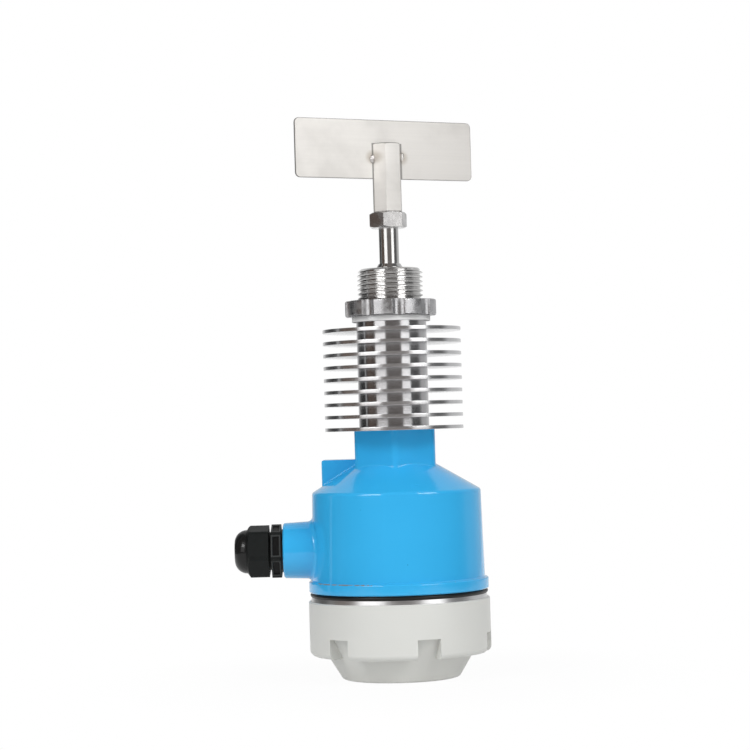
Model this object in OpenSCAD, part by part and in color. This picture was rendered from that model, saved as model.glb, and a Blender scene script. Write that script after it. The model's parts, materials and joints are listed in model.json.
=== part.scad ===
// Rotary paddle level switch, high temperature pattern, standing on its screw cover with the paddle up.
// Millimetres. The origin is the centre of the cover's flat end face, and Z runs up the drive axis.
// The cable entry points to -X.

/* [Cover] */
// Diameter of the end face that the switch stands on, at its sharp corner
cover_face_d = 59; // [56:0.5:62]
// Height of the tapered end below the skirt
cover_end_h = 12.2; // [10:0.1:15]
// Taper of the cover's end, measured from its axis, in degrees
cover_taper_angle = 31.5; // [25:0.5:35]
// Height of the painted skirt
cover_skirt_h = 27.5; // [24:0.5:34]
// Wall of the cover
cover_wall = 3; // [2.5:0.1:3.5]
// Number of spanner notches round the skirt
notch_count = 6; // [4:1:8]
// Width of a spanner notch
notch_w = 12; // [8:0.5:14]
// Height of a spanner notch
notch_h = 10.2; // [7:0.1:12]
// Turn of the notches about the axis, in degrees
notch_turn = 18; // [0:1:59]
// Height of the bare machined land above the skirt
land_h = 2; // [1.5:0.1:3]
// Length of the cover's screw spigot inside the housing
cover_spigot_l = 10; // [8:0.5:11]
// Section of the cover's sealing ring
o_ring_section = 2.2; // [1.8:0.1:2.6]

/* [Housing] */
// Diameter of the housing above its flange
body_d = 87.4; // [86:0.2:94]
// Draft of the housing's wall, in degrees
body_draft = 1.2; // [0.5:0.1:1.5]
// Height of the housing's wall between the flange and the shoulder
body_h = 44.2; // [43.5:0.1:52]
// Wall of the casting
housing_wall = 3.5; // [3:0.1:3.6]
// Height of the flange at the mouth
flange_h = 5.7; // [5:0.1:7]
// How far the flange stands out of the wall
flange_out = 1.8; // [1.4:0.1:2.5]
// Rise of the conical shoulder, in degrees
shoulder_angle = 31; // [30:0.5:34]
// Width across the flats of the hexagonal neck
neck_af = 40.5; // [39:0.5:44]
// Height of the hexagonal neck above the shoulder
neck_h = 17.3; // [16.5:0.1:22]
// Reach of the square lug on the shoulder from the axis
lug_reach = 37.5; // [34:0.5:39]
// Depth of the lug behind the axis
lug_depth = 22; // [16:1:26]
// How far the lug's top stands above the foot of the neck
lug_rise = 3; // [1:0.5:5]

/* [Cable entry] */
// Height of the entry's axis above the flange's lower face
entry_rise = 21.3; // [20:0.1:24]
// Reach of the entry boss from the drive axis
entry_reach = 57.7; // [54:0.1:64]
// Diameter of the entry boss at its end
entry_d = 27.9; // [26:0.1:30]
// Thread diameter of the cable gland
gland_thread_d = 20; // [18:0.5:20]
// Width across the flats of the gland
gland_af = 24; // [24:0.5:26]
// Thickness of the gland's hexagon
gland_flange_h = 5; // [4:0.1:6]
// Length of the dome nut's hexagon
dome_hex_l = 11.3; // [10:0.1:14]
// Length of the dome nut's round end
dome_l = 6.3; // [5:0.1:8]
// Bore of the rubber insert that grips the cable
cable_d = 10; // [8:0.5:10.5]

/* [Heat sink] */
// Diameter of the cooling fins
fin_d = 70; // [60:1:80]
// Number of cooling fins
fin_count = 9; // [6:1:12]
// Thickness of a fin
fin_t = 1.8; // [1.2:0.1:2.4]
// Distance from fin to fin
fin_pitch = 6.2; // [5:0.1:7]
// Diameter of the core between the fins
core_d = 35.5; // [34.5:0.5:40]
// Height of the core above the top fin
core_top_h = 3.6; // [3:0.1:6]

/* [Process connection] */
// Outside diameter of the process thread, G1
thread_d = 33.25; // [33:0.05:34]
// Length of the process thread above the gasket
thread_l = 24.2; // [22:0.1:30]
// Width of the white gasket's ring outside the thread
gasket_w = 3.2; // [2.4:0.1:5]
// Thickness of the gasket
gasket_t = 2.6; // [1.5:0.1:3]
// Diameter of the scalloped lock ring
lock_ring_d = 46.4; // [44:0.2:50]
// Height of the lock ring
lock_ring_h = 8; // [6:0.1:9]
// Number of scallops round the lock ring
scallop_count = 9; // [6:1:12]

/* [Shaft and paddle] */
// Diameter of the drive shaft
shaft_d = 10; // [9.5:0.1:10]
// Free length of the shaft between the thread's tip and the jam nut
shaft_free_l = 20.6; // [16:0.1:40]
// Width across the flats of the jam nut
nut_af = 17; // [16:0.5:19]
// Height of the jam nut
nut_h = 8; // [5:0.1:9]
// Width across the flats of the paddle's hexagonal stem
stem_af = 14; // [13.5:0.1:16]
// Length of the stem
stem_l = 35; // [30:0.5:45]
// Width of the paddle blade
blade_w = 100; // [80:1:120]
// How far the blade is welded off the stem's middle
blade_shift = 1.1; // [0:0.1:2]
// Height of the paddle blade
blade_h = 30; // [24:0.5:36]
// Thickness of the blade
blade_t = 1.2; // [0.8:0.1:1.6]
// Depth that the blade sits in the stem's slot
blade_seat = 18; // [14:0.5:20]
// Corner radius of the blade
blade_corner = 2.5; // [1:0.1:6]
// Turn of the paddle at rest, in degrees
paddle_turn = 27; // [0:1:59]

/* [Drive inside] */
// Outside diameter of the shaft bearings
bearing_d = 22; // [21.5:0.5:22.5]
// Width of a shaft bearing
bearing_w = 6; // [5.5:0.1:7]
// Diameter of the gear motor
motor_d = 36; // [32:0.5:38]
// Height of the gear motor
motor_h = 20; // [18:0.5:20]
// Swing of the motor carrier, in degrees
swing_angle = 7; // [6:0.1:7]
// Number of terminal ways
way_count = 6; // [3:1:6]
// Distance between terminal ways
way_pitch = 8; // [7:0.5:8]

/* [Hidden] */
$fn = 96;
eps = 0.01;

// Clearances
screw_clear = 0.2;
press_clear = 0.03;
running_clear = 0.05;
seat_gap = 0.2;

// Levels up the axis
z_skirt = cover_end_h;
z_rim = z_skirt + cover_skirt_h;
z_land = z_rim + land_h;
z_flange = z_land + o_ring_section + seat_gap;
z_body = z_flange + flange_h;
z_shoulder = z_body + body_h;
body_r = body_d / 2;
shoulder_r = body_r - body_h * tan(body_draft);
neck_r = neck_af / 2;
z_neck_foot = z_shoulder + (shoulder_r - neck_r) * tan(shoulder_angle);
z_neck = z_neck_foot + neck_h;
fin_stack_h = (fin_count - 1) * fin_pitch + fin_t;
z_core_top = z_neck + fin_stack_h + core_top_h;
z_gasket_top = z_core_top + gasket_t;
z_tip = z_gasket_top + thread_l;
z_nut = z_tip + shaft_free_l;
z_stem = z_nut + nut_h;
z_stem_top = z_stem + stem_l;
z_blade = z_stem_top - blade_seat;

// Cover
thread_r = body_r - housing_wall;
spigot_r = thread_r - screw_clear;
flange_r = body_r + flange_out;
cover_r = flange_r + 0.3;
land_r = flange_r - 1.3;
o_ring_r = flange_r - 0.6 - o_ring_section / 2;
register_r = o_ring_r - o_ring_section / 2;
register_h = 2;
register_clear = 0.3;
face_r = cover_face_d / 2;
taper_slope = tan(cover_taper_angle);
taper_r = face_r + z_skirt * taper_slope;
skirt_fillet = 3;
face_fillet = 2;
cover_floor = cover_wall + 1;
cavity_r = spigot_r - cover_wall;
z_spigot_top = z_flange + cover_spigot_l;

// Housing inside
z_thread_end = z_spigot_top + 1.5;
cavity_top_r = shoulder_r - housing_wall;
shoulder_slope = tan(shoulder_angle);
roof_drop = housing_wall / cos(shoulder_angle);
z_roof_edge = z_shoulder - roof_drop + housing_wall * shoulder_slope;
roof_skirt = 6;
stub_r = 14;
stub_l = 12;
z_bearing_low = z_neck - stub_l - bearing_w;
lip_h = 3;
z_neck_under = z_bearing_low - lip_h;
lip_r = bearing_d / 2 - 2;
z_entry = z_flange + entry_rise;
entry_root_r = entry_d / 2 + 0.8;
gland_r = gland_thread_d / 2;
entry_bore_back = 6;

// Shaft line
shaft_r = shaft_d / 2;
bearing_r = bearing_d / 2;
tunnel_r = shaft_r + 2;
seal_h = 6;
z_bearing_high = z_tip - seal_h - bearing_w;
ball_r = 1.7;
ball_pitch_r = (shaft_r + bearing_r) / 2;
ball_count = 9;
ball_clear = 0.1;
circlip_t = 1;
circlip_groove = 0.6;
sleeve_r = 9;
z_sleeve_top = z_neck_under - 0.8;
sleeve_l = 14;
z_sleeve = z_sleeve_top - sleeve_l;
slinger_h = 2.3;
slinger_r = shaft_r + 1.65;

// Drive unit
chassis_t = 2;
chassis_r = cavity_top_r - 2.5;
z_chassis = z_roof_edge - 3;
post_r = 4;
post_circle_r = chassis_r - 3.6;
post_angles = [75, 165, 285];
carrier_t = 2;
carrier_gap = 3.5;
z_carrier_top = z_chassis - carrier_gap;
z_carrier = z_carrier_top - carrier_t;
z_motor = z_carrier - motor_h;
motor_r = motor_d / 2;
gearbox_h = 6;
output_r = 3.5;
output_boss_r = 6;
output_boss_h = z_sleeve - 0.5 - z_carrier;
arm_half_w = 3;
arm_room = 5.8;
arm_reach = chassis_r - arm_room;
stop_pin_r = 1.6;

// Snap switches
switch_w = 6.4;
switch_d = 10;
switch_l = 20;
switch_room = 11.8;
switch_x = chassis_r - switch_room;
lever_w = 4;
lever_x = switch_x + switch_w / 2;
lever_t = 0.4;
lever_l = 15.5;
lever_gap = 0.25;
lever_arm = 12.5;
edge_x = lever_x + lever_w / 2;
arm_push = edge_x * sin(swing_angle) + arm_half_w * (cos(swing_angle) - 1);
hinge_y = arm_half_w + arm_push + lever_gap + lever_t / 2;
lever_angle = atan((hinge_y - arm_half_w - lever_gap - lever_t / 2) / (lever_arm + carrier_t / 2) * 0.97);
z_hinge = z_carrier + carrier_t / 2 - lever_arm;
z_switch = z_chassis - switch_l;
switch_y = hinge_y + 0.8;
plunger_r = 0.9;
plunger_low = 5;
plunger_tip_y = hinge_y - plunger_low * tan(lever_angle) + lever_t / 2 + 0.2;
plunger_travel = 1.4;
plunger_l = 4;
hinge_pin_r = 0.6;
ear_gap = 0.3;
ear_t = 0.8;
tab_t = 1.2;

// Return spring
spring_room = 8.8;
spring_circle_r = chassis_r - spring_room;
spring_fixed_angle = 245;
spring_moving_angle = 300;
spring_post_r = 1.5;
spring_wire_r = 0.35;
spring_coil_r = 1.9;
spring_turns = 12;
spring_sides = 6;
z_spring = z_carrier - 6;

// Terminal board
board_t = 1.6;
z_board = z_motor - 6;
board_r = chassis_r - 3.5;
standoff_r = 2.5;
standoff_circle_r = chassis_r - 4.5;
standoff_angles = [100, 225, 330];
block_h = 11;
block_d = 16;
block_w = way_count * way_pitch;
earth_angle = 145;
earth_boss_r = 4.5;
earth_circle_r = thread_r - 5.5;
z_earth = z_thread_end + 1.5;
board_cut_x = earth_circle_r * cos(earth_angle) + earth_boss_r + 1.9;
block_rib = 1;
block_x = board_cut_x + block_w / 2 + block_rib;

// Screws: shank radius, head radius, head height and the length that bites into the far piece
m2_r = 1.05;
m2_head_r = 1.9;
m2_head_h = 1.1;
m2_bite = 0.5;
m25_r = 1.25;
m25_head_r = 2.3;
m25_head_h = 1.6;
m25_bite = 5;
m3_r = 1.5;
m3_head_r = 2.8;
m3_head_h = 1.8;
m3_bite = 3.5;
earth_r = 1.6;
earth_head_r = 3.5;
earth_head_h = 2.6;
earth_bite = 7;
hole_ease = 0.3;

// Points of an arc about c, from angle a0 to a1
function arc(c, r, a0, a1, steps = 5) =
    [for (i = [0:steps]) let (a = a0 + (a1 - a0) * i / steps) c + r * [cos(a), sin(a)]];

// Outline of a regular polygon with rounded corners and a corner at angle 0
function rounded_polygon(sides, af, r) = let (step = 360 / sides, reach = (af / 2 - r) / cos(step / 2))
    [for (k = [0:sides - 1], p = arc(reach * [cos(k * step), sin(k * step)],
        r, (k - 0.5) * step, (k + 0.5) * step, 4)) p];

// Radius of the cover's taper at height z
function taper_at(z) = face_r + z * taper_slope;

// Height of the housing's outer shoulder at radius r
function shoulder_at(r) = z_shoulder + (shoulder_r - r) * shoulder_slope;

// Closed ring with a rectangular section
module ring(r_out, r_in, h) {
    rotate_extrude() translate([r_in, 0]) square([r_out - r_in, h]);
}

// Hexagonal prism with a corner at angle 0
module hexagon(af, h) {
    cylinder(d = af / cos(30), h = h, $fn = 6);
}

// Hexagonal bar with turned chamfers at its ends
module chamfered_hexagon(af, h, low = 0, high = 0) {
    corner = af / 2 / cos(30);
    flat = af / 2 - 0.3;
    slope = tan(30);
    intersection() {
        hexagon(af, h);
        rotate_extrude() polygon([[0, 0], [low > 0 ? flat : corner + eps, 0],
            [corner + eps, low * (corner + eps - flat) * slope],
            [corner + eps, h - high * (corner + eps - flat) * slope],
            [high > 0 ? flat : corner + eps, h], [0, h]]);
    }
}

// Pan head screw pointing up, with its head's seat at z = 0
module pan_screw(shank_r, shank_l, head_r, head_h) {
    slot_w = head_r * 0.3;
    difference() {
        union() {
            cylinder(r = shank_r, h = shank_l);
            translate([0, 0, -head_h]) rotate_extrude() polygon(concat([[0, 0]],
                [[head_r * 0.7, 0], [head_r * 0.93, head_h * 0.25], [head_r, head_h * 0.6], [head_r, head_h],
                [0, head_h]]));
        }
        for (a = [0, 90]) rotate([0, 0, a]) translate([-head_r * 0.55, -slot_w / 2, -head_h - eps])
            cube([head_r * 1.1, slot_w, head_h * 0.5]);
    }
}

// Places its children on the cable entry's axis, with their Z pointing out of the entry
module on_entry(reach) {
    translate([-reach, 0, z_entry]) rotate([0, -90, 0]) children();
}

module at_polar(r, a, z) {
    rotate([0, 0, a]) translate([r, 0, z]) children();
}

// Cover

module cover_outer() {
    rotate_extrude() polygon(concat(
        [[0, 0]],
        arc([face_r - face_fillet * (1 - sin(cover_taper_angle)) / cos(cover_taper_angle), face_fillet],
            face_fillet, -90, -cover_taper_angle),
        [[taper_r, z_skirt]],
        arc([cover_r - skirt_fillet, z_skirt + skirt_fillet], skirt_fillet, -90, 0),
        [[cover_r, z_rim - 0.6], [cover_r - 0.6, z_rim], [land_r, z_rim], [land_r, z_land],
        [register_r, z_land], [register_r, z_flange + register_h - 0.4],
        [spigot_r, z_flange + register_h], [spigot_r, z_spigot_top - 1], [spigot_r - 1, z_spigot_top],
        [0, z_spigot_top]]));
}

module cover_cavity() {
    inner = cover_wall / cos(cover_taper_angle);
    z_straight = (cavity_r + inner - face_r) / taper_slope;
    rotate_extrude() polygon([[0, cover_floor], [taper_at(cover_floor) - inner, cover_floor],
        [cavity_r, z_straight], [cavity_r, z_spigot_top + 1], [0, z_spigot_top + 1]]);
}

// A spanner notch runs in to the continued taper of the cover's end
module spanner_notch() {
    z_notch = z_skirt + notch_h;
    difference() {
        translate([0, -notch_w / 2, z_skirt - 1]) cube([cover_r + 1, notch_w, notch_h + 1]);
        rotate_extrude() polygon([[0, z_skirt - 2], [taper_at(z_skirt - 2), z_skirt - 2],
            [taper_at(z_notch + 1), z_notch + 1], [0, z_notch + 1]]);
    }
}

module cover() {
    color([0.80, 0.81, 0.78]) difference() {
        cover_outer();
        cover_cavity();
        for (k = [0:notch_count - 1])
            rotate([0, 0, -90 + notch_turn + k * 360 / notch_count]) spanner_notch();
    }
}

module cover_o_ring() {
    color([0.05, 0.05, 0.05]) translate([0, 0, z_land + o_ring_section / 2])
        rotate_extrude() translate([o_ring_r, 0]) circle(d = o_ring_section, $fn = 32);
}

// Housing

module housing_shell() {
    lower = z_flange;
    rotate_extrude() polygon(concat(
        [[register_r + register_clear, lower], [flange_r - 0.5, lower], [flange_r, lower + 0.5]],
        arc([flange_r - 1, z_body - 1], 1, 0, 90),
        [[body_r + 0.5, z_body], [body_r, z_body + 0.5]],
        arc([shoulder_r - 2, z_shoulder - 1], 2, 0, 90 - shoulder_angle),
        [[neck_r - 4, shoulder_at(neck_r - 4)], [neck_r - 4, z_neck_under],
        [neck_r - 2, z_neck_under],
        [cavity_top_r, z_roof_edge], [cavity_top_r, z_roof_edge - roof_skirt],
        [thread_r, z_thread_end], [thread_r, lower + register_h + 0.6],
        [register_r + register_clear, lower + register_h + 0.3]]));
}

module neck_hexagon() {
    corner = 4;
    translate([0, 0, z_neck_under]) rotate([0, 0, 30])
        linear_extrude(z_neck - z_neck_under) polygon(rounded_polygon(6, neck_af, corner));
}

// Square lug, rounded at its upright corners and along the outer edge of its top
module lug() {
    low = shoulder_at(lug_reach) - 2;
    root = lug_reach - neck_r + 3;
    top = z_neck_foot + lug_rise - low;
    corner = 1;
    top_edge = 1.2;
    translate([-lug_reach, 0, low]) intersection() {
        linear_extrude(top + 1) polygon(concat(
            arc([corner, corner], corner, 180, 270, 3), [[root, 0], [root, lug_depth]],
            arc([corner, lug_depth - corner], corner, 90, 180, 3)));
        translate([0, lug_depth + 1, 0]) rotate([90, 0, 0]) linear_extrude(lug_depth + 2) polygon(concat(
            [[-1, -1], [root + 1, -1], [root + 1, top]],
            arc([top_edge, top - top_edge], top_edge, 90, 180, 3)));
    }
}

module entry_boss() {
    root = cavity_top_r - 1;
    l = entry_reach - root;
    edge = 0.6;
    translate([-root, 0, z_entry]) rotate([0, -90, 0]) rotate_extrude() polygon([[0, 0], [entry_root_r, 0],
        [entry_d / 2, l - edge], [entry_d / 2 - edge, l], [0, l]]);
}

module chassis_posts() {
    for (a = post_angles)
        at_polar(post_circle_r, a, z_chassis + chassis_t)
            cylinder(r = post_r, h = shoulder_at(post_circle_r) - z_chassis - chassis_t - 2);
}

module earth_boss() {
    h = 12;
    at_polar(earth_circle_r, earth_angle, z_earth) {
        cylinder(r = earth_boss_r, h = h);
        translate([0, -earth_boss_r, 0]) cube([thread_r - earth_circle_r + 0.5, 2 * earth_boss_r, h]);
    }
}

// Space that nothing of the casting reaches into: the cavity below the roof
module housing_cavity() {
    rotate_extrude() polygon([[0, z_flange - 1], [register_r + register_clear, z_flange - 1],
        [register_r + register_clear, z_flange + register_h + 0.3], [thread_r, z_flange + register_h + 0.6],
        [thread_r, z_thread_end], [cavity_top_r, z_roof_edge - roof_skirt], [cavity_top_r, z_roof_edge],
        [neck_r - 2, z_neck_under], [0, z_neck_under]]);
}

module housing() {
    color([0.20, 0.62, 0.88]) difference() {
        union() {
            difference() {
                union() {
                    housing_shell();
                    neck_hexagon();
                    lug();
                    entry_boss();
                }
                housing_cavity();
            }
            chassis_posts();
            earth_boss();
        }
        translate([0, 0, z_neck - stub_l]) cylinder(r = stub_r + press_clear, h = stub_l + 1);
        translate([0, 0, z_bearing_low]) cylinder(r = bearing_r + press_clear, h = bearing_w + 1);
        translate([0, 0, z_neck_under - 1]) cylinder(r = lip_r, h = lip_h + 2);
        on_entry(cavity_top_r - entry_bore_back) cylinder(r = gland_r + screw_clear / 2, h = entry_reach);
        for (a = post_angles) at_polar(post_circle_r, a, z_chassis)
            cylinder(r = m3_r, h = chassis_t + m3_bite + 1);
        at_polar(earth_circle_r, earth_angle, z_earth - 1) cylinder(r = earth_r, h = earth_bite + 2);
    }
}

module earth_screw() {
    color([0.78, 0.72, 0.45]) at_polar(earth_circle_r, earth_angle, z_earth)
        pan_screw(earth_r - press_clear, earth_bite, earth_head_r, earth_head_h);
}

// Cable gland

gland_washer_t = 1.1;
gland_neck_l = 9;
gland_thread_l = 10;
gland_seat = 2;
gland_face = entry_reach + gland_washer_t;
gland_gap = 1.2;
gland_neck_r = gland_r - 0.4;
dome_r = gland_af / 2 - 1;
dome_hole_r = cable_d / 2 + 1.2;
dome_base = gland_face + gland_flange_h + gland_gap;
insert_r = gland_neck_r - 1.9;
gland_turn = 15;

module gland_body() {
    panel_l = gland_af * 0.4;
    panel_depth = 0.7;
    panel_margin = 0.9;
    inner_end = entry_reach - gland_thread_l;
    outer_l = gland_flange_h + gland_neck_l;
    color([0.09, 0.09, 0.09]) difference() {
        union() {
            on_entry(inner_end) cylinder(r = gland_r, h = gland_face - inner_end + 1);
            on_entry(gland_face) rotate([0, 0, gland_turn]) hexagon(gland_af, gland_flange_h);
            on_entry(gland_face) cylinder(r = gland_neck_r, h = outer_l);
        }
        on_entry(inner_end - 1) cylinder(r = insert_r - 1.2, h = gland_face - inner_end + outer_l + 2);
        on_entry(gland_face + gland_seat) cylinder(r = insert_r, h = outer_l);
        for (k = [0:5]) on_entry(gland_face + panel_margin) rotate([0, 0, gland_turn + 30 + 60 * k])
            translate([gland_af / 2 - panel_depth, -panel_l / 2, 0])
                cube([2 * panel_depth, panel_l, gland_flange_h - 2 * panel_margin]);
    }
}

module gland_washer() {
    color([0.04, 0.04, 0.04]) on_entry(entry_reach)
        ring(gland_r + 0.9, gland_r + press_clear, gland_washer_t);
}

module gland_seal() {
    color([0.12, 0.12, 0.12]) on_entry(gland_face + gland_seat)
        ring(insert_r - press_clear, cable_d / 2, gland_flange_h + gland_neck_l);
}

module gland_dome_nut() {
    inside_l = gland_neck_l + 2.5;
    color([0.07, 0.07, 0.07]) on_entry(dome_base) difference() {
        union() {
            intersection() {
                rotate([0, 0, gland_turn + 2]) linear_extrude(dome_hex_l)
                    polygon(rounded_polygon(6, gland_af, 2.5));
                rotate_extrude() polygon([[0, 0], [gland_af / 2 + 2, 0], [gland_af / 2 + 2, dome_hex_l - 2.2],
                    [dome_r - 0.2, dome_hex_l], [0, dome_hex_l]]);
            }
            rotate_extrude() polygon(concat([[0, 1], [dome_r, 1]],
                arc([dome_r - dome_l, dome_hex_l], dome_l, 0, 90, 8), [[0, dome_hex_l + dome_l]]));
        }
        translate([0, 0, -1]) cylinder(r = gland_neck_r + screw_clear, h = inside_l + 1);
        translate([0, 0, -1]) cylinder(r = dome_hole_r, h = dome_hex_l + dome_l + 2);
    }
}

// Heat sink and process connection

core_r = core_d / 2;

// Turned core, with a stub that seats in the neck below and a socket for the spigot above
module heat_sink() {
    socket_r = stub_r + press_clear;
    color([0.86, 0.86, 0.87]) rotate_extrude() polygon([
        [tunnel_r, z_neck - stub_l], [stub_r, z_neck - stub_l], [stub_r, z_neck], [core_r, z_neck],
        [core_r, z_core_top], [socket_r, z_core_top], [socket_r, z_core_top - stub_l],
        [tunnel_r, z_core_top - stub_l]]);
}

// Fin discs pressed on the core
module cooling_fins() {
    edge = 0.25;
    fin_r = fin_d / 2;
    bore_r = core_r + press_clear;
    color([0.86, 0.86, 0.87]) for (k = [0:fin_count - 1]) translate([0, 0, z_neck + k * fin_pitch])
        rotate_extrude() polygon([[bore_r, 0], [fin_r - edge, 0], [fin_r, edge], [fin_r, fin_t - edge],
            [fin_r - edge, fin_t], [bore_r, fin_t]]);
}

module gasket() {
    color([0.93, 0.93, 0.91]) translate([0, 0, z_core_top])
        ring(thread_d / 2 + gasket_w, thread_d / 2 + press_clear, gasket_t);
}

// The thread's crests are a little lower where the lock ring rests on it
module process_spigot() {
    tip_chamfer = 1.6;
    crest_drop = 0.3;
    run_out_r = thread_d / 2 - crest_drop;
    z_full_thread = z_gasket_top + seat_gap / 2 + lock_ring_h + 0.3;
    color([0.80, 0.80, 0.81]) rotate_extrude() polygon([
        [tunnel_r, z_core_top - stub_l], [stub_r, z_core_top - stub_l], [stub_r, z_core_top],
        [run_out_r, z_core_top], [run_out_r, z_full_thread], [thread_d / 2, z_full_thread],
        [thread_d / 2, z_tip - tip_chamfer], [thread_d / 2 - tip_chamfer * 1.3, z_tip],
        [bearing_r + press_clear, z_tip], [bearing_r + press_clear, z_bearing_high],
        [tunnel_r, z_bearing_high]]);
}

module lock_ring() {
    flute_r = 4.2;
    flute_depth = 1.8;
    edge = 0.5;
    ring_r = lock_ring_d / 2;
    bore_r = thread_d / 2 + screw_clear;
    color([0.72, 0.72, 0.74]) translate([0, 0, z_gasket_top + seat_gap / 2]) difference() {
        rotate_extrude() polygon([[bore_r, edge], [bore_r + edge, 0], [ring_r - edge, 0], [ring_r, edge],
            [ring_r, lock_ring_h - edge], [ring_r - edge, lock_ring_h], [bore_r + edge, lock_ring_h],
            [bore_r, lock_ring_h - edge]]);
        for (k = [0:scallop_count - 1]) rotate([0, 0, -80 + k * 360 / scallop_count])
            translate([ring_r + flute_r - flute_depth, 0, -1]) cylinder(r = flute_r, h = lock_ring_h + 2);
    }
}

module shaft_seal() {
    case_t = 1;
    lip = shaft_r + running_clear;
    color([0.10, 0.10, 0.10]) translate([0, 0, z_tip - seal_h]) rotate_extrude() polygon([
        [bearing_r, 0], [bearing_r, seal_h - 0.3], [bearing_r - 0.3, seal_h], [lip + 1.2, seal_h],
        [lip, seal_h - 0.8], [lip, seal_h - 2], [lip + 1.2, seal_h - 2.6], [lip + 2, seal_h - 1.5],
        [bearing_r - case_t, seal_h - 1.5], [bearing_r - case_t, 0]]);
}

// Shaft and bearings

module at_bearings() {
    for (z = [z_bearing_low, z_bearing_high]) translate([0, 0, z]) children();
}

module bearing_outer_rings() {
    race_r = ball_pitch_r + ball_r * 0.62;
    shield_t = 0.5;
    shield_r = ball_pitch_r - ball_r * 0.62 + 0.3;
    color([0.62, 0.63, 0.65]) at_bearings() difference() {
        union() {
            ring(bearing_r, race_r, bearing_w);
            ring(bearing_r - 0.5, shield_r, shield_t);
            translate([0, 0, bearing_w - shield_t]) ring(bearing_r - 0.5, shield_r, shield_t);
        }
        translate([0, 0, bearing_w / 2]) rotate_extrude() translate([ball_pitch_r, 0])
            circle(r = ball_r + ball_clear, $fn = 32);
    }
}

module bearing_inner_rings() {
    race_r = ball_pitch_r - ball_r * 0.62;
    color([0.70, 0.71, 0.72]) at_bearings() difference() {
        ring(race_r, shaft_r + press_clear, bearing_w);
        translate([0, 0, bearing_w / 2]) rotate_extrude() translate([ball_pitch_r, 0])
            circle(r = ball_r + ball_clear, $fn = 32);
    }
}

module at_balls() {
    at_bearings() for (k = [0:ball_count - 1])
        rotate([0, 0, k * 360 / ball_count]) translate([ball_pitch_r, 0, bearing_w / 2]) children();
}

module bearing_balls() {
    color([0.85, 0.85, 0.86]) at_balls() sphere(r = ball_r, $fn = 32);
}

module bearing_cages() {
    low = 0.9;
    high = bearing_w / 2 - 0.7;
    color([0.75, 0.62, 0.35]) at_bearings() difference() {
        translate([0, 0, bearing_w / 2 - low]) ring(ball_pitch_r + 0.5, ball_pitch_r - 0.5, low + high);
        for (k = [0:ball_count - 1]) rotate([0, 0, k * 360 / ball_count])
            translate([ball_pitch_r, 0, bearing_w / 2]) sphere(r = ball_r + ball_clear, $fn = 32);
    }
}

// Levels of the retaining rings on the shaft: below the lower bearing and below the upper one
circlip_levels = [z_bearing_low - circlip_t - 0.1, z_bearing_high - circlip_t - 0.1];

module shaft() {
    end_chamfer = 0.8;
    foot = z_sleeve + sleeve_l / 2;
    l = z_blade - 1.5 - foot;
    color([0.74, 0.74, 0.75]) difference() {
        translate([0, 0, foot]) rotate_extrude() polygon([[0, 0], [shaft_r - end_chamfer, 0],
            [shaft_r, end_chamfer], [shaft_r, l - end_chamfer], [shaft_r - end_chamfer, l], [0, l]]);
        for (z = circlip_levels) translate([0, 0, z]) ring(shaft_r + 1, shaft_r - circlip_groove, circlip_t);
    }
}

module shaft_circlips() {
    gap_w = 3;
    color([0.35, 0.35, 0.36]) for (z = circlip_levels) translate([0, 0, z + press_clear]) difference() {
        ring(shaft_r + 1.3, shaft_r - circlip_groove + press_clear, circlip_t - 2 * press_clear);
        translate([0, -gap_w / 2, -1]) cube([shaft_r + 5, gap_w, circlip_t + 2]);
    }
}

module slinger_ring() {
    color([0.55, 0.55, 0.56]) translate([0, 0, z_tip + seat_gap]) rotate_extrude() polygon([
        [shaft_r + press_clear, 0], [slinger_r, 0], [slinger_r, 0.6], [shaft_r + 0.6, slinger_h],
        [shaft_r + press_clear, slinger_h]]);
}

module jam_nut() {
    nut_turn = 16;
    color([0.68, 0.68, 0.69]) translate([0, 0, z_nut]) difference() {
        rotate([0, 0, nut_turn]) chamfered_hexagon(nut_af, nut_h, 1, 1);
        translate([0, 0, -1]) cylinder(r = shaft_r + press_clear, h = nut_h + 2);
    }
}

// Hexagonal stem, slotted corner to corner for the blade and bored for the shaft's threaded end
module paddle_stem() {
    color([0.82, 0.82, 0.81]) rotate([0, 0, paddle_turn]) difference() {
        translate([0, 0, z_stem]) chamfered_hexagon(stem_af, stem_l, 0, 1);
        translate([0, 0, z_stem - 1]) cylinder(r = shaft_r + press_clear, h = z_blade - z_stem);
        translate([-stem_af, -blade_t / 2 - press_clear, z_blade])
            cube([2 * stem_af, blade_t + 2 * press_clear, stem_l]);
    }
}

module paddle_blade() {
    half = blade_w / 2;
    c = blade_corner;
    color([0.84, 0.84, 0.82]) rotate([0, 0, paddle_turn]) translate([-blade_shift, blade_t / 2, z_blade])
        rotate([90, 0, 0]) linear_extrude(blade_t) polygon(concat(
            arc([half - c, c], c, -90, 0), arc([half - c, blade_h - c], c, 0, 90),
            arc([c - half, blade_h - c], c, 90, 180), arc([c - half, c], c, 180, 270)));
}

// Tack welds where the blade leaves the stem's corners, two on each side of the blade
module weld_beads() {
    corner = stem_af / 2 / cos(30);
    bead_r = 1.5;
    room = 2 * bead_r;
    color([0.70, 0.69, 0.66]) rotate([0, 0, paddle_turn])
        for (side = [-1, 1], face = [-1, 1])
            translate([side * (corner + 0.2), face * blade_t / 2, z_blade + blade_seat / 2]) intersection() {
                rotate_extrude() polygon(arc([0, 0], bead_r, -90, 90, 10));
                translate([side > 0 ? 0 : -room, face > 0 ? 0 : -room, -room]) cube([room, room, 2 * room]);
            }
}

// Drive coupling and gear motor

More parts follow.
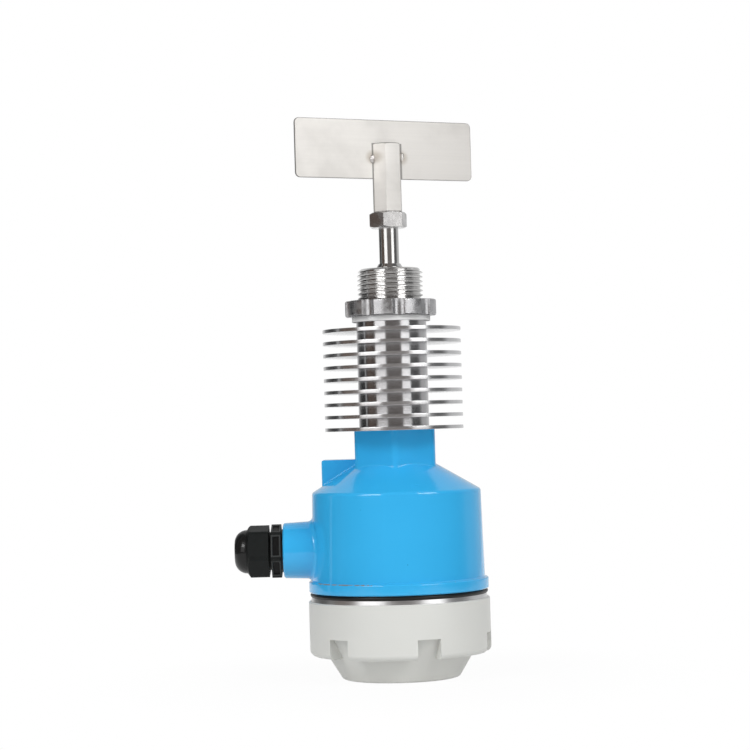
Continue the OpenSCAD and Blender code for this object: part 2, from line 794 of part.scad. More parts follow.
module coupling_sleeve() {
    color([0.72, 0.60, 0.32]) translate([0, 0, z_sleeve]) difference() {
        rotate_extrude() polygon([[0, 0], [sleeve_r - 0.6, 0], [sleeve_r, 0.6], [sleeve_r, sleeve_l - 0.6],
            [sleeve_r - 0.6, sleeve_l], [0, sleeve_l]]);
        translate([0, 0, sleeve_l / 2]) cylinder(r = shaft_r + press_clear, h = sleeve_l);
        translate([0, 0, -1]) cylinder(r = output_r + press_clear, h = sleeve_l);
        for (z = [sleeve_l * 0.25, sleeve_l * 0.75]) translate([0, 0, z]) rotate([0, 90, 0])
            cylinder(r = 2, h = sleeve_r + 1);
    }
}

module coupling_set_screws() {
    color([0.20, 0.20, 0.21]) for (spec = [[sleeve_l * 0.25, output_r], [sleeve_l * 0.75, shaft_r]])
        translate([0, 0, z_sleeve + spec[0]]) rotate([0, 90, 0]) difference() {
            translate([0, 0, spec[1] + 0.1]) cylinder(r = 2 - press_clear, h = sleeve_r - spec[1] - 0.6);
            translate([0, 0, sleeve_r - 2]) cylinder(d = 2.2, h = 3, $fn = 6);
        }
}

module motor_output_shaft() {
    start = z_carrier - gearbox_h + 1;
    color([0.76, 0.76, 0.77]) translate([0, 0, start])
        cylinder(r = output_r, h = z_sleeve + sleeve_l / 2 - 0.5 - start);
}

module motor_can() {
    can_h = motor_h - gearbox_h;
    edge = 1.5;
    color([0.70, 0.70, 0.70]) translate([0, 0, z_motor]) rotate_extrude() polygon(concat(
        [[0, 0]], arc([motor_r - 1 - edge, edge], edge, -90, 0), [[motor_r - 1, can_h], [0, can_h]]));
}

module at_motor_screws(z) {
    for (a = [90, 270]) at_polar(motor_r - 5, a, z) children();
}

module motor_gearbox() {
    z_gearbox = z_carrier - gearbox_h;
    color([0.55, 0.55, 0.56]) difference() {
        union() {
            translate([0, 0, z_gearbox]) cylinder(r = motor_r, h = gearbox_h);
            translate([0, 0, z_carrier - 1]) cylinder(r = output_boss_r, h = output_boss_h + 1);
        }
        translate([0, 0, z_gearbox + 0.5])
            cylinder(r = output_r + running_clear, h = motor_h + output_boss_h);
        at_motor_screws(z_carrier - m3_bite - 0.5) cylinder(r = m3_r, h = m3_bite + 1);
    }
}

module motor_screws() {
    color([0.75, 0.75, 0.76]) at_motor_screws(z_carrier_top) rotate([180, 0, 0])
        pan_screw(m3_r - press_clear, carrier_t + m3_bite, m3_head_r, m3_head_h);
}

// Torque arm plate that the motor hangs from: two arms work the switches, the third carries the spring
module swing_plate() {
    arm_root = motor_r - 4;
    color([0.66, 0.66, 0.67]) difference() {
        union() {
            translate([0, 0, z_carrier]) cylinder(r = motor_r + 0.5, h = carrier_t);
            for (a = [0, 180]) rotate([0, 0, a]) translate([arm_root, -arm_half_w, z_carrier])
                cube([arm_reach - arm_root, 2 * arm_half_w, carrier_t]);
            rotate([0, 0, spring_moving_angle]) {
                translate([arm_root, -arm_half_w, z_carrier])
                    cube([spring_circle_r - arm_root, 2 * arm_half_w, carrier_t]);
                translate([spring_circle_r, 0, z_carrier]) cylinder(r = arm_half_w, h = carrier_t);
            }
        }
        translate([0, 0, z_carrier - 1]) cylinder(r = output_boss_r + screw_clear, h = carrier_t + 2);
        at_motor_screws(z_carrier - 1) cylinder(r = m3_r, h = carrier_t + 2);
        at_polar(spring_circle_r, spring_moving_angle, z_carrier - 1)
            cylinder(r = spring_post_r - 0.4, h = carrier_t + 2);
    }
}

// Post with a waist for the spring's hook, hanging from z_top
module spring_post(z_top, tenon_l) {
    foot = z_spring - 1.6;
    waist = spring_wire_r + 0.3;
    translate([0, 0, foot]) rotate_extrude() polygon([[0, 0], [spring_post_r, 0],
        [spring_post_r, z_spring - foot - waist], [spring_post_r - 0.6, z_spring - foot - waist],
        [spring_post_r - 0.6, z_spring - foot + waist], [spring_post_r, z_spring - foot + waist],
        [spring_post_r, z_top - foot], [spring_post_r - 0.4 - press_clear, z_top - foot],
        [spring_post_r - 0.4 - press_clear, z_top - foot + tenon_l], [0, z_top - foot + tenon_l]]);
}

module spring_moving_post() {
    color([0.75, 0.75, 0.76]) at_polar(spring_circle_r, spring_moving_angle, 0)
        spring_post(z_carrier, carrier_t);
}

module spring_fixed_post() {
    color([0.75, 0.75, 0.76]) at_polar(spring_circle_r, spring_fixed_angle, 0)
        spring_post(z_chassis, chassis_t);
}

// Sweeps a round section along a list of points, carrying its first side direction along without twist
function unit(v) = v / norm(v);
function direction(p, i) = unit(p[min(i + 1, len(p) - 1)] - p[max(i - 1, 0)]);
function carried(p, i, u) = let (d = direction(p, i), w = unit(u - (u * d) * d))
    concat([w], i + 1 < len(p) ? carried(p, i + 1, w) : []);
module swept_wire(p, r, sides) {
    count = len(p);
    u = carried(p, 0, [0, 1, 0]);
    points = [for (i = [0:count - 1], k = [0:sides - 1]) let (v = cross(direction(p, i), u[i]))
        p[i] + r * (u[i] * cos(k * 360 / sides) + v * sin(k * 360 / sides))];
    faces = concat(
        [[for (k = [0:sides - 1]) k]],
        [for (i = [0:count - 2], k = [0:sides - 1]) let (a = i * sides + k, b = i * sides + (k + 1) % sides)
            [a, a + sides, b + sides, b]],
        [[for (k = [sides - 1:-1:0]) (count - 1) * sides + k]]);
    polyhedron(points, faces, convexity = 10);
}

// Extension spring along X from x = 0 to x = l: a straight lead, half a turn opening out, the coil, and back
function spring_path(l) = let (
    start = spring_post_r + 0.2,
    lead = 3.2,
    steps = 12,
    turns = spring_turns + 1,
    body = l - 2 * lead)
    concat([[start, 0, 0]],
    [for (i = [0:turns * steps]) let (t = i / (turns * steps), a = 360 * turns * t,
        w = spring_coil_r * min(1, 2 * turns * t, 2 * turns * (1 - t)))
        [lead + body * t, w * sin(a), w * cos(a)]],
    [[l - start, 0, 0]]);

module return_spring() {
    half = (spring_moving_angle - spring_fixed_angle) / 2;
    l = 2 * spring_circle_r * sin(half);
    color([0.80, 0.80, 0.82]) rotate([0, 0, spring_fixed_angle]) translate([spring_circle_r, 0, z_spring])
        rotate([0, 0, 90 + half]) swept_wire(spring_path(l), spring_wire_r, spring_sides);
}

// Pin that the resting arm leans on
module stop_pin() {
    y = arm_half_w + stop_pin_r + seat_gap;
    color([0.75, 0.75, 0.76]) translate([-(arm_reach - 4), y, 0]) {
        translate([0, 0, z_carrier - 2]) cylinder(r = stop_pin_r, h = z_chassis - z_carrier + 2);
        translate([0, 0, z_chassis - 1]) cylinder(r = stop_pin_r - 0.4, h = chassis_t + 1);
    }
}

// Chassis with a bent-down tab behind each snap switch
module chassis_plate() {
    pin_hole_r = stop_pin_r - 0.4 + press_clear;
    tab_foot = z_switch + 3;
    color([0.70, 0.71, 0.70]) difference() {
        union() {
            translate([0, 0, z_chassis]) ring(chassis_r, sleeve_r + 3, chassis_t);
            for (a = [0, 180]) rotate([0, 0, a])
                translate([switch_x + switch_w + press_clear, switch_y, tab_foot])
                    cube([tab_t, switch_d, z_chassis + chassis_t / 2 - tab_foot]);
        }
        for (a = post_angles) at_polar(post_circle_r, a, z_chassis - 1)
            cylinder(r = m3_r + hole_ease, h = chassis_t + 2);
        for (a = standoff_angles) at_polar(standoff_circle_r, a, z_chassis - 1)
            cylinder(r = m25_r + hole_ease, h = chassis_t + 2);
        at_polar(spring_circle_r, spring_fixed_angle, z_chassis - 1)
            cylinder(r = spring_post_r - 0.4, h = chassis_t + 2);
        translate([-(arm_reach - 4), arm_half_w + stop_pin_r + seat_gap, z_chassis - 1])
            cylinder(r = pin_hole_r, h = chassis_t + 2);
        for (a = [0, 180], z = switch_screw_levels) rotate([0, 0, a])
            translate([switch_x, switch_y + switch_screw_y, z]) rotate([0, 90, 0])
                cylinder(r = m2_r, h = switch_w + tab_t + 4);
    }
}

module chassis_screws() {
    color([0.75, 0.75, 0.76]) for (a = post_angles) at_polar(post_circle_r, a, z_chassis)
        pan_screw(m3_r - press_clear, chassis_t + m3_bite, m3_head_r, m3_head_h);
}

// Snap switches, one worked by each arm

switch_screw_rise = 5.3;
switch_screw_pitch = 9.5;
switch_screw_levels = [z_switch + switch_screw_rise, z_switch + switch_screw_rise + switch_screw_pitch];
switch_screw_y = 7.4;
blade_terminal_t = 0.6;
blade_terminal_w = 2.4;
blade_terminal_l = 3.5;

module snap_switch() {
    difference() {
        union() {
            translate([switch_x, switch_y, z_switch]) cube([switch_w, switch_d, switch_l - seat_gap]);
            for (k = [1, 2.5, 4]) translate([switch_x + (switch_w - blade_terminal_t) / 2,
                switch_y + switch_d - 1, z_switch + k * switch_l / 5 - blade_terminal_w / 2])
                cube([blade_terminal_t, blade_terminal_l + 1, blade_terminal_w]);
            for (x = [-lever_w / 2 - ear_gap - ear_t, lever_w / 2 + ear_gap])
                translate([lever_x + x, hinge_y - 1, z_hinge - 1]) cube([ear_t, switch_y - hinge_y + 1.5, 2]);
        }
        for (z = switch_screw_levels) translate([switch_x - 1, switch_y + switch_screw_y, z])
            rotate([0, 90, 0]) cylinder(r = m2_r, h = switch_w + 2);
        translate([lever_x, switch_y - 1, z_hinge + plunger_low + plunger_r]) rotate([-90, 0, 0])
            cylinder(r = plunger_r + running_clear, h = 1 + plunger_l + 1);
        translate([lever_x - lever_w, hinge_y, z_hinge]) rotate([0, 90, 0])
            cylinder(r = hinge_pin_r + running_clear, h = 2 * lever_w);
    }
}

module snap_lever() {
    translate([lever_x, hinge_y, z_hinge]) rotate([lever_angle, 0, 0]) {
        translate([-lever_w / 2, -lever_t / 2, 0]) cube([lever_w, lever_t, lever_l]);
        translate([-lever_w / 2 - ear_gap - ear_t, 0, 0]) rotate([0, 90, 0])
            cylinder(r = hinge_pin_r, h = lever_w + 2 * (ear_gap + ear_t));
    }
}

module snap_plunger() {
    edge = 0.4;
    translate([lever_x, plunger_tip_y, z_hinge + plunger_low + plunger_r]) rotate([-90, 0, 0])
        rotate_extrude() polygon([[0, 0], [plunger_r - edge, 0], [plunger_r, edge], [plunger_r, plunger_l],
            [0, plunger_l]]);
}

module signal_switch() { color([0.10, 0.10, 0.11]) snap_switch(); }
module signal_lever() { color([0.75, 0.75, 0.74]) snap_lever(); }
module signal_plunger() { color([0.70, 0.12, 0.10]) snap_plunger(); }
module motor_switch() { color([0.10, 0.10, 0.11]) rotate([0, 0, 180]) snap_switch(); }
module motor_switch_lever() { color([0.75, 0.75, 0.74]) rotate([0, 0, 180]) snap_lever(); }
module motor_switch_plunger() { color([0.70, 0.12, 0.10]) rotate([0, 0, 180]) snap_plunger(); }

module switch_screws() {
    color([0.75, 0.75, 0.76]) for (a = [0, 180], z = switch_screw_levels) rotate([0, 0, a])
        translate([switch_x, switch_y + switch_screw_y, z]) rotate([0, 90, 0])
            pan_screw(m2_r - press_clear, switch_w + tab_t + m2_bite, m2_head_r, m2_head_h);
}

// Terminal board

module standoffs() {
    l = z_chassis - z_board - board_t;
    color([0.78, 0.72, 0.45]) for (a = standoff_angles) at_polar(standoff_circle_r, a, z_board + board_t)
        difference() {
            hexagon(2 * standoff_r * cos(30), l);
            translate([0, 0, -1]) cylinder(r = m25_r, h = l + 2);
        }
}

module terminal_board() {
    color([0.35, 0.24, 0.14]) difference() {
        translate([0, 0, z_board]) cylinder(r = board_r, h = board_t);
        translate([board_cut_x - board_r, -board_r, z_board - 1]) cube([board_r, 2 * board_r, board_t + 2]);
        for (a = standoff_angles) at_polar(standoff_circle_r, a, z_board - 1)
            cylinder(r = m25_r + hole_ease, h = board_t + 2);
    }
}

module board_screws() {
    color([0.75, 0.75, 0.76]) for (a = standoff_angles) at_polar(standoff_circle_r, a, 0) {
        translate([0, 0, z_board])
            pan_screw(m25_r - press_clear, board_t + m25_bite, m25_head_r, m25_head_h);
        translate([0, 0, z_chassis + chassis_t]) rotate([180, 0, 0])
            pan_screw(m25_r - press_clear, chassis_t + m25_bite, m25_head_r, m25_head_h);
    }
}

module at_ways() {
    for (k = [0:way_count - 1]) translate([block_x + (k + 0.5) * way_pitch - block_w / 2, 0, 0]) children();
}

terminal_r = 1.5;
terminal_head_r = 2.6;
terminal_head_h = 1.8;
terminal_bite = 3;

module terminal_block() {
    base_h = block_h * 0.6;
    half = block_w / 2;
    color([0.88, 0.87, 0.82]) difference() {
        translate([block_x, -block_d / 2, z_board]) union() {
            translate([-half - block_rib, 0, -base_h]) cube([block_w + 2 * block_rib, block_d, base_h]);
            for (k = [1:way_count - 1]) translate([k * way_pitch - half - block_rib / 2, 0, -block_h])
                cube([block_rib, block_d, block_h]);
            for (x = [-half - block_rib, half]) translate([x, 0, -block_h])
                cube([block_rib, block_d, block_h]);
        }
        at_ways() for (side = [-1, 1]) translate([0, side * block_d / 4, z_board - base_h - 1])
            cylinder(r = terminal_r, h = terminal_bite + 1.5);
    }
}

module terminal_screws() {
    color([0.80, 0.79, 0.74]) at_ways() for (side = [-1, 1])
        translate([0, side * block_d / 4, z_board - block_h * 0.6])
            pan_screw(terminal_r - press_clear, terminal_bite, terminal_head_r, terminal_head_h);
}

cover();
cover_o_ring();
housing();
earth_screw();
gland_body();
gland_washer();
gland_seal();
gland_dome_nut();
heat_sink();
cooling_fins();
gasket();
process_spigot();
lock_ring();
shaft_seal();
bearing_outer_rings();
bearing_inner_rings();
bearing_balls();
bearing_cages();
shaft();
shaft_circlips();
slinger_ring();
jam_nut();
paddle_stem();
paddle_blade();
weld_beads();
coupling_sleeve();
coupling_set_screws();
motor_output_shaft();
motor_can();
motor_gearbox();
motor_screws();
swing_plate();
spring_moving_post();
return_spring();
spring_fixed_post();
stop_pin();
chassis_plate();
chassis_screws();
signal_switch();
signal_lever();
signal_plunger();
motor_switch();
motor_switch_lever();
motor_switch_plunger();
switch_screws();
standoffs();
terminal_board();
board_screws();
terminal_block();
terminal_screws();
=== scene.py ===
"""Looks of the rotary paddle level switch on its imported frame, in metres and in the solids' axes."""
import json
import math

import bmesh
import bpy
from mathutils import Matrix, Vector, noise

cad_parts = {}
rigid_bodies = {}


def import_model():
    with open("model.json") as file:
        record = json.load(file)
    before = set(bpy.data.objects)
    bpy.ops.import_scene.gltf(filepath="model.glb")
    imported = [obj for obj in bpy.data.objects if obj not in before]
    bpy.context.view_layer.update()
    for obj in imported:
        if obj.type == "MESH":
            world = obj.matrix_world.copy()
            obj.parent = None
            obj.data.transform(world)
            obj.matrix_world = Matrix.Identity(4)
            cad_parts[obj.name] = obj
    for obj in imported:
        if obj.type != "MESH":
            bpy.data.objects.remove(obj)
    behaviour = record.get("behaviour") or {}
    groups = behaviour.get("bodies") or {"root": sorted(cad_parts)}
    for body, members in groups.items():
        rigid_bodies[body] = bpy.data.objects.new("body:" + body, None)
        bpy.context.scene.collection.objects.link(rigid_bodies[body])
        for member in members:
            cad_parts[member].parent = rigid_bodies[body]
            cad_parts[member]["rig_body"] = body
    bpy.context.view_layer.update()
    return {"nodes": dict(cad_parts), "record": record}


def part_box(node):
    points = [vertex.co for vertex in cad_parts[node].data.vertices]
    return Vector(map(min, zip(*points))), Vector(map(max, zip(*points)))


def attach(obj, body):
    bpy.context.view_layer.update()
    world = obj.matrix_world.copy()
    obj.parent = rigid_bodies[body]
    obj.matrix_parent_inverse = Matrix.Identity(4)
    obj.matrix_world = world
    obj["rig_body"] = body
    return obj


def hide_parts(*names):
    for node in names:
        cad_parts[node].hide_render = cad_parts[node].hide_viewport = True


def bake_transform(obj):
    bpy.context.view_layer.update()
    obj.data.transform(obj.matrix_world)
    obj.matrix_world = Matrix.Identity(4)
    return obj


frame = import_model()
nodes = frame["nodes"]
scene = bpy.context.scene
scene.view_settings.view_transform = "Standard"
MM = 0.001

# Sizes repeated from the solids, in millimetres
BODY_R = 43.7
BODY_DRAFT = math.radians(1.2)
Z_BODY = 49.8
Z_SHOULDER = 94.0
SHOULDER_R = 42.774
SHOULDER_ANGLE = math.radians(31)
SHOULDER_SKIN = 2.6
CAVITY_R = 41.2
ENTRY_Z = 65.4
ENTRY_ROOT_X = 38.27
ENTRY_ROOT_R = 14.75
ENTRY_END_X = 57.7
ENTRY_END_R = 13.95
ENTRY_BORE_R = 10.5
COVER_RIM_Z = 39.7
COVER_LAND_R = 44.2
COVER_SPIGOT_R = 40.0
COVER_BORE_R = 38.3
COVER_FLOOR_Z = 2.0
COVER_CUP_R = 27.8
COVER_CUP_SLOPE = 0.6128
GLAND_AF = 24.0
GLAND_FACE = 58.8
GLAND_FLANGE = 5.0
GLAND_DOME_X = 76.0
NECK_AF = 40.5
NECK_CORNER = 4.0
LUG_REACH = 37.5
LUG_DEPTH = 22.0
LUG_ROUND = 1.0
LUG_FRONT_ROOT = 18.5
LUG_BACK_ROOT = 14.0
FIN_R = 35.0
FIN_BORE_R = 17.78
FIN_T = 1.8
FIN_PITCH = 6.2
FIN_COUNT = 9
THREAD_FOOT = 179.83
PADDLE_TURN = math.radians(27)
BLADE_Z = 252.23
BLADE_H = 30.0
BLADE_W = 100.0
BLADE_SHIFT = 1.1
BLADE_CORNER = 2.5
STEM_CORNER = 8.083
STEM_LOW = 235.23
STEM_HIGH = 270.23
SPRING_CIRCLE = 27.974
SPRING_Z = 77.52
SPRING_ENDS = (math.radians(245), math.radians(300))

# Sizes that only the scene has, in millimetres: the threads, the weld tacks and the spread foot of the land
COVER_THREAD_PITCH = 1.5
COVER_THREAD_TURNS = 4
THREAD_CREST = 16.6
THREAD_PITCH = 2.309
SPIGOT_WALL = 3.3
SPIGOT_HOLLOW = 5.9
WELD_X = 8.3
WELD_Z = 263.2
LAND_FOOT_R = 44.55

# How far the table reaches in front of the switch, to its sides and behind it, in metres
TABLE_FRONT = 0.7
TABLE_SIDE = 0.7
TABLE_BACK = 8.3

# Name, azimuth, distance, height, size and power of each lamp
LAMPS = (
    ("left_softbox", -38.5, 1.35, 0.92, (0.85, 1.58), 6.0),
    ("left_bulb", -36, 1.30, 0.92, (0.66, 0.44), 6.6),
    ("right_softbox", 45.5, 1.35, 0.92, (0.70, 1.58), 5.4),
    ("right_bulb", 45.5, 1.30, 0.92, (0.64, 0.44), 6.2),
)

# Share of a turn from straight behind, level and warmth of the room that bright pieces mirror
ROOM_LEVELS = (
    (0.0, 0.75, 0), (0.07, 0.70, 0), (0.10, 0.22, 0), (0.15, 0.06, 0), (0.210, 0.04, 0), (0.215, 0.60, 0),
    (0.224, 0.60, 0), (0.229, 0.03, 0), (0.26, 0.12, 0.3), (0.33, 0.08, 0.3), (0.42, 0.17, 0.1),
    (0.60, 0.17, 0.1), (0.67, 0.14, 0), (0.73, 0.12, 0), (0.76, 0.15, 0), (0.80, 0.55, 0), (0.86, 0.60, 0),
    (0.92, 0.70, 0), (1.0, 0.75, 0),
)


# Node helpers


def feed(tree, socket, value):
    """Links a socket's output, or sets a plain value."""
    if isinstance(value, bpy.types.NodeSocket):
        tree.links.new(value, socket)
    else:
        socket.default_value = value


def calc(tree, operation, *values, clamp=False):
    """A Math node, and its result."""
    made = tree.nodes.new("ShaderNodeMath")
    made.operation = operation
    made.use_clamp = clamp
    for socket, value in zip(made.inputs, values):
        feed(tree, socket, value)
    return made.outputs[0]


def invert(tree, mask):
    """1 where a mask is 0, and 0 where it is 1."""
    return calc(tree, "SUBTRACT", 1.0, mask)


def all_of(tree, *masks):
    """A mask that is 1 only where all the given ones are."""
    result = masks[0]
    for mask in masks[1:]:
        result = calc(tree, "MULTIPLY", result, mask)
    return result


def diagonal(tree, first, second):
    """Length of the diagonal over two sides."""
    squares = calc(tree, "ADD", calc(tree, "MULTIPLY", first, first), calc(tree, "MULTIPLY", second, second))
    return calc(tree, "SQRT", squares)


def ramp_step(tree, value, low, high):
    """0 below low, 1 above high and smooth between them."""
    made = tree.nodes.new("ShaderNodeMapRange")
    made.interpolation_type = "SMOOTHSTEP"
    feed(tree, made.inputs["Value"], value)
    made.inputs["From Min"].default_value = low
    made.inputs["From Max"].default_value = high
    return made.outputs["Result"]


def step_mm(tree, length, low, high):
    """The same for a length, with low and high in millimetres."""
    return ramp_step(tree, length, low * MM, high * MM)


def above_zero(tree, length):
    """1 where a length is above zero, with a soft edge."""
    return step_mm(tree, length, -0.1, 0.1)


def spread(tree, value, low, high):
    """Maps 0 to 1 onto low to high."""
    made = tree.nodes.new("ShaderNodeMapRange")
    feed(tree, made.inputs["Value"], value)
    made.inputs["To Min"].default_value = low
    made.inputs["To Max"].default_value = high
    return made.outputs["Result"]


def cloud(tree, vector, scale, detail=2.0, roughness=0.5):
    """A noise texture's value."""
    made = tree.nodes.new("ShaderNodeTexNoise")
    feed(tree, made.inputs["Vector"], vector)
    feed(tree, made.inputs["Scale"], scale)
    made.inputs["Detail"].default_value = detail
    made.inputs["Roughness"].default_value = roughness
    return made.outputs["Fac"]


def tint(tree, factor, first, second):
    """Mixes two colours."""
    made = tree.nodes.new("ShaderNodeMix")
    made.data_type = "RGBA"
    feed(tree, made.inputs[0], factor)
    feed(tree, made.inputs[6], first)
    feed(tree, made.inputs[7], second)
    return made.outputs[2]


def part_tint(tree, mask, share, first, second):
    """Mixes a share of the second colour into the first where a mask is 1."""
    return tint(tree, calc(tree, "MULTIPLY", mask, share), first, second)


def blend_value(tree, factor, first, second):
    """Mixes two values."""
    made = tree.nodes.new("ShaderNodeMix")
    feed(tree, made.inputs[0], factor)
    feed(tree, made.inputs[2], first)
    feed(tree, made.inputs[3], second)
    return made.outputs[0]


def relief(tree, height, strength, depth):
    """A Bump node on a height, depth in millimetres."""
    made = tree.nodes.new("ShaderNodeBump")
    made.inputs["Strength"].default_value = strength
    made.inputs["Distance"].default_value = depth * MM
    feed(tree, made.inputs["Height"], height)
    return made.outputs["Normal"]


def object_place(tree):
    """Object coordinates."""
    return tree.nodes.new("ShaderNodeTexCoord").outputs["Object"]


def paddle_place(tree):
    """Object coordinates turned so that X runs along the blade."""
    made = tree.nodes.new("ShaderNodeMapping")
    made.vector_type = "TEXTURE"
    made.inputs["Rotation"].default_value = (0, 0, PADDLE_TURN)
    tree.links.new(object_place(tree), made.inputs["Vector"])
    return made.outputs["Vector"]


def split_vector(tree, vector):
    """X, Y and Z of a vector."""
    made = tree.nodes.new("ShaderNodeSeparateXYZ")
    tree.links.new(vector, made.inputs[0])
    return made.outputs


def split_place(tree):
    """X, Y, Z and the distance from the drive axis."""
    x, y, z = split_vector(tree, object_place(tree))
    return x, y, z, diagonal(tree, x, y)


def new_group(name, outputs, **inputs):
    """An empty shader node group with float outputs; an input without a value is a vector."""
    group = bpy.data.node_groups.new(name, "ShaderNodeTree")
    for label, value in inputs.items():
        kind = "NodeSocketVector" if value is None else "NodeSocketFloat"
        socket = group.interface.new_socket(label, in_out="INPUT", socket_type=kind)
        if value is not None:
            socket.default_value = value
    for label in outputs:
        group.interface.new_socket(label, in_out="OUTPUT", socket_type="NodeSocketFloat")
    return group, group.nodes.new("NodeGroupInput"), group.nodes.new("NodeGroupOutput")


def give(group, sink, **values):
    """Links a group's results to its outputs."""
    for label, value in values.items():
        group.links.new(value, sink.inputs[label])
    return group


def use_group(tree, group, **values):
    """Places a shared group in a material with its own values."""
    made = tree.nodes.new("ShaderNodeGroup")
    made.node_tree = group
    for label, value in values.items():
        feed(tree, made.inputs[label], value)
    return made.outputs


# Shared effects


def make_lathe_rings():
    """Fine marks that run round the drive axis, on barrels as on end faces."""
    group, source, sink = new_group("lathe_rings", ("Height", "Streak"), Fineness=3000.0)
    z, radius = split_place(group)[2:]
    track = group.nodes.new("ShaderNodeCombineXYZ")
    group.links.new(radius, track.inputs[0])
    group.links.new(z, track.inputs[2])
    fineness = source.outputs["Fineness"]
    fine = cloud(group, track.outputs[0], fineness, 3.0, 0.6)
    broad = cloud(group, track.outputs[0], calc(group, "MULTIPLY", fineness, 0.17), 2.0)
    return give(group, sink, Height=fine, Streak=calc(group, "MULTIPLY", broad, fine))


def make_brushed_lines():
    """Long thin grain along X of the given place."""
    group, source, sink = new_group("brushed_lines", ("Height", "Streak"), Place=None, Fineness=4000.0)
    stretch = group.nodes.new("ShaderNodeMapping")
    stretch.inputs["Scale"].default_value = (0.012, 0.05, 1.0)
    group.links.new(source.outputs["Place"], stretch.inputs["Vector"])
    fineness = source.outputs["Fineness"]
    fine = cloud(group, stretch.outputs[0], fineness, 4.0, 0.65)
    broad = cloud(group, stretch.outputs[0], calc(group, "MULTIPLY", fineness, 0.12), 2.0)
    return give(group, sink, Height=fine, Streak=broad)


def make_paint_skin():
    """Sprayed paint: a soft ripple, fine dust specks and a slow change of tone."""
    group, source, sink = new_group("paint_skin", ("Height", "Tone", "Speck"), Ripple=700.0)
    place = object_place(group)
    ripple = cloud(group, place, source.outputs["Ripple"], 2.0)
    tone = cloud(group, place, 28.0, 2.0)
    dots = group.nodes.new("ShaderNodeTexVoronoi")
    dots.inputs["Scale"].default_value = 90.0
    group.links.new(place, dots.inputs["Vector"])
    speck = invert(group, ramp_step(group, dots.outputs["Distance"], 0.018, 0.032))
    return give(group, sink, Height=ripple, Tone=tone, Speck=speck)


def make_handling_marks():
    """Faint smears and hairline scratches from handling."""
    group, source, sink = new_group("handling_marks", ("Smear", "Scratch"), Spacing=60.0)
    place = object_place(group)
    smear = ramp_step(group, cloud(group, place, source.outputs["Spacing"], 4.0, 0.6), 0.42, 0.68)
    lean = group.nodes.new("ShaderNodeMapping")
    lean.inputs["Rotation"].default_value = (0.5, 0.9, 0.4)
    lean.inputs["Scale"].default_value = (1.0, 0.05, 0.6)
    group.links.new(place, lean.inputs["Vector"])
    hair = cloud(group, lean.outputs[0], calc(group, "MULTIPLY", source.outputs["Spacing"], 22.0), 2.0)
    return give(group, sink, Smear=smear, Scratch=ramp_step(group, hair, 0.70, 0.74))


def make_moulded_grain():
    """Spark-eroded grain of a moulded surface."""
    group, source, sink = new_group("moulded_grain", ("Height", "Tone"), Grain=2600.0)
    place = object_place(group)
    grain = cloud(group, place, source.outputs["Grain"], 3.0, 0.6)
    return give(group, sink, Height=grain, Tone=cloud(group, place, 120.0, 3.0))


LATHE_RINGS = make_lathe_rings()
BRUSHED_LINES = make_brushed_lines()
PAINT_SKIN = make_paint_skin()
HANDLING_MARKS = make_handling_marks()
MOULDED_GRAIN = make_moulded_grain()


# Finishes


def empty_tree(owner, sink_kind):
    """The emptied node tree of a material or world, and the socket for its surface."""
    owner.use_nodes = True
    tree = owner.node_tree
    tree.nodes.clear()
    return tree, tree.nodes.new(sink_kind).inputs["Surface"]


def new_finish(name, metallic=0.0):
    """A material with a bare Principled shader."""
    material = bpy.data.materials.new(name)
    tree, surface = empty_tree(material, "ShaderNodeOutputMaterial")
    shader = tree.nodes.new("ShaderNodeBsdfPrincipled")
    tree.links.new(shader.outputs["BSDF"], surface)
    shader.inputs["Metallic"].default_value = metallic
    return material, tree, shader


def dress(tree, shader, colour, roughness, normal):
    """Feeds the colour, roughness and normal of a shader."""
    for label, value in (("Base Color", colour), ("Roughness", roughness), ("Normal", normal)):
        feed(tree, shader.inputs[label], value)


def cast_metal_look(tree):
    """Colour and roughness of bare cast aluminium."""
    grain = use_group(tree, MOULDED_GRAIN, Grain=1500.0)
    colour = tint(tree, grain["Tone"], (0.48, 0.49, 0.50, 1), (0.62, 0.62, 0.63, 1))
    return colour, spread(tree, grain["Tone"], 0.42, 0.60)


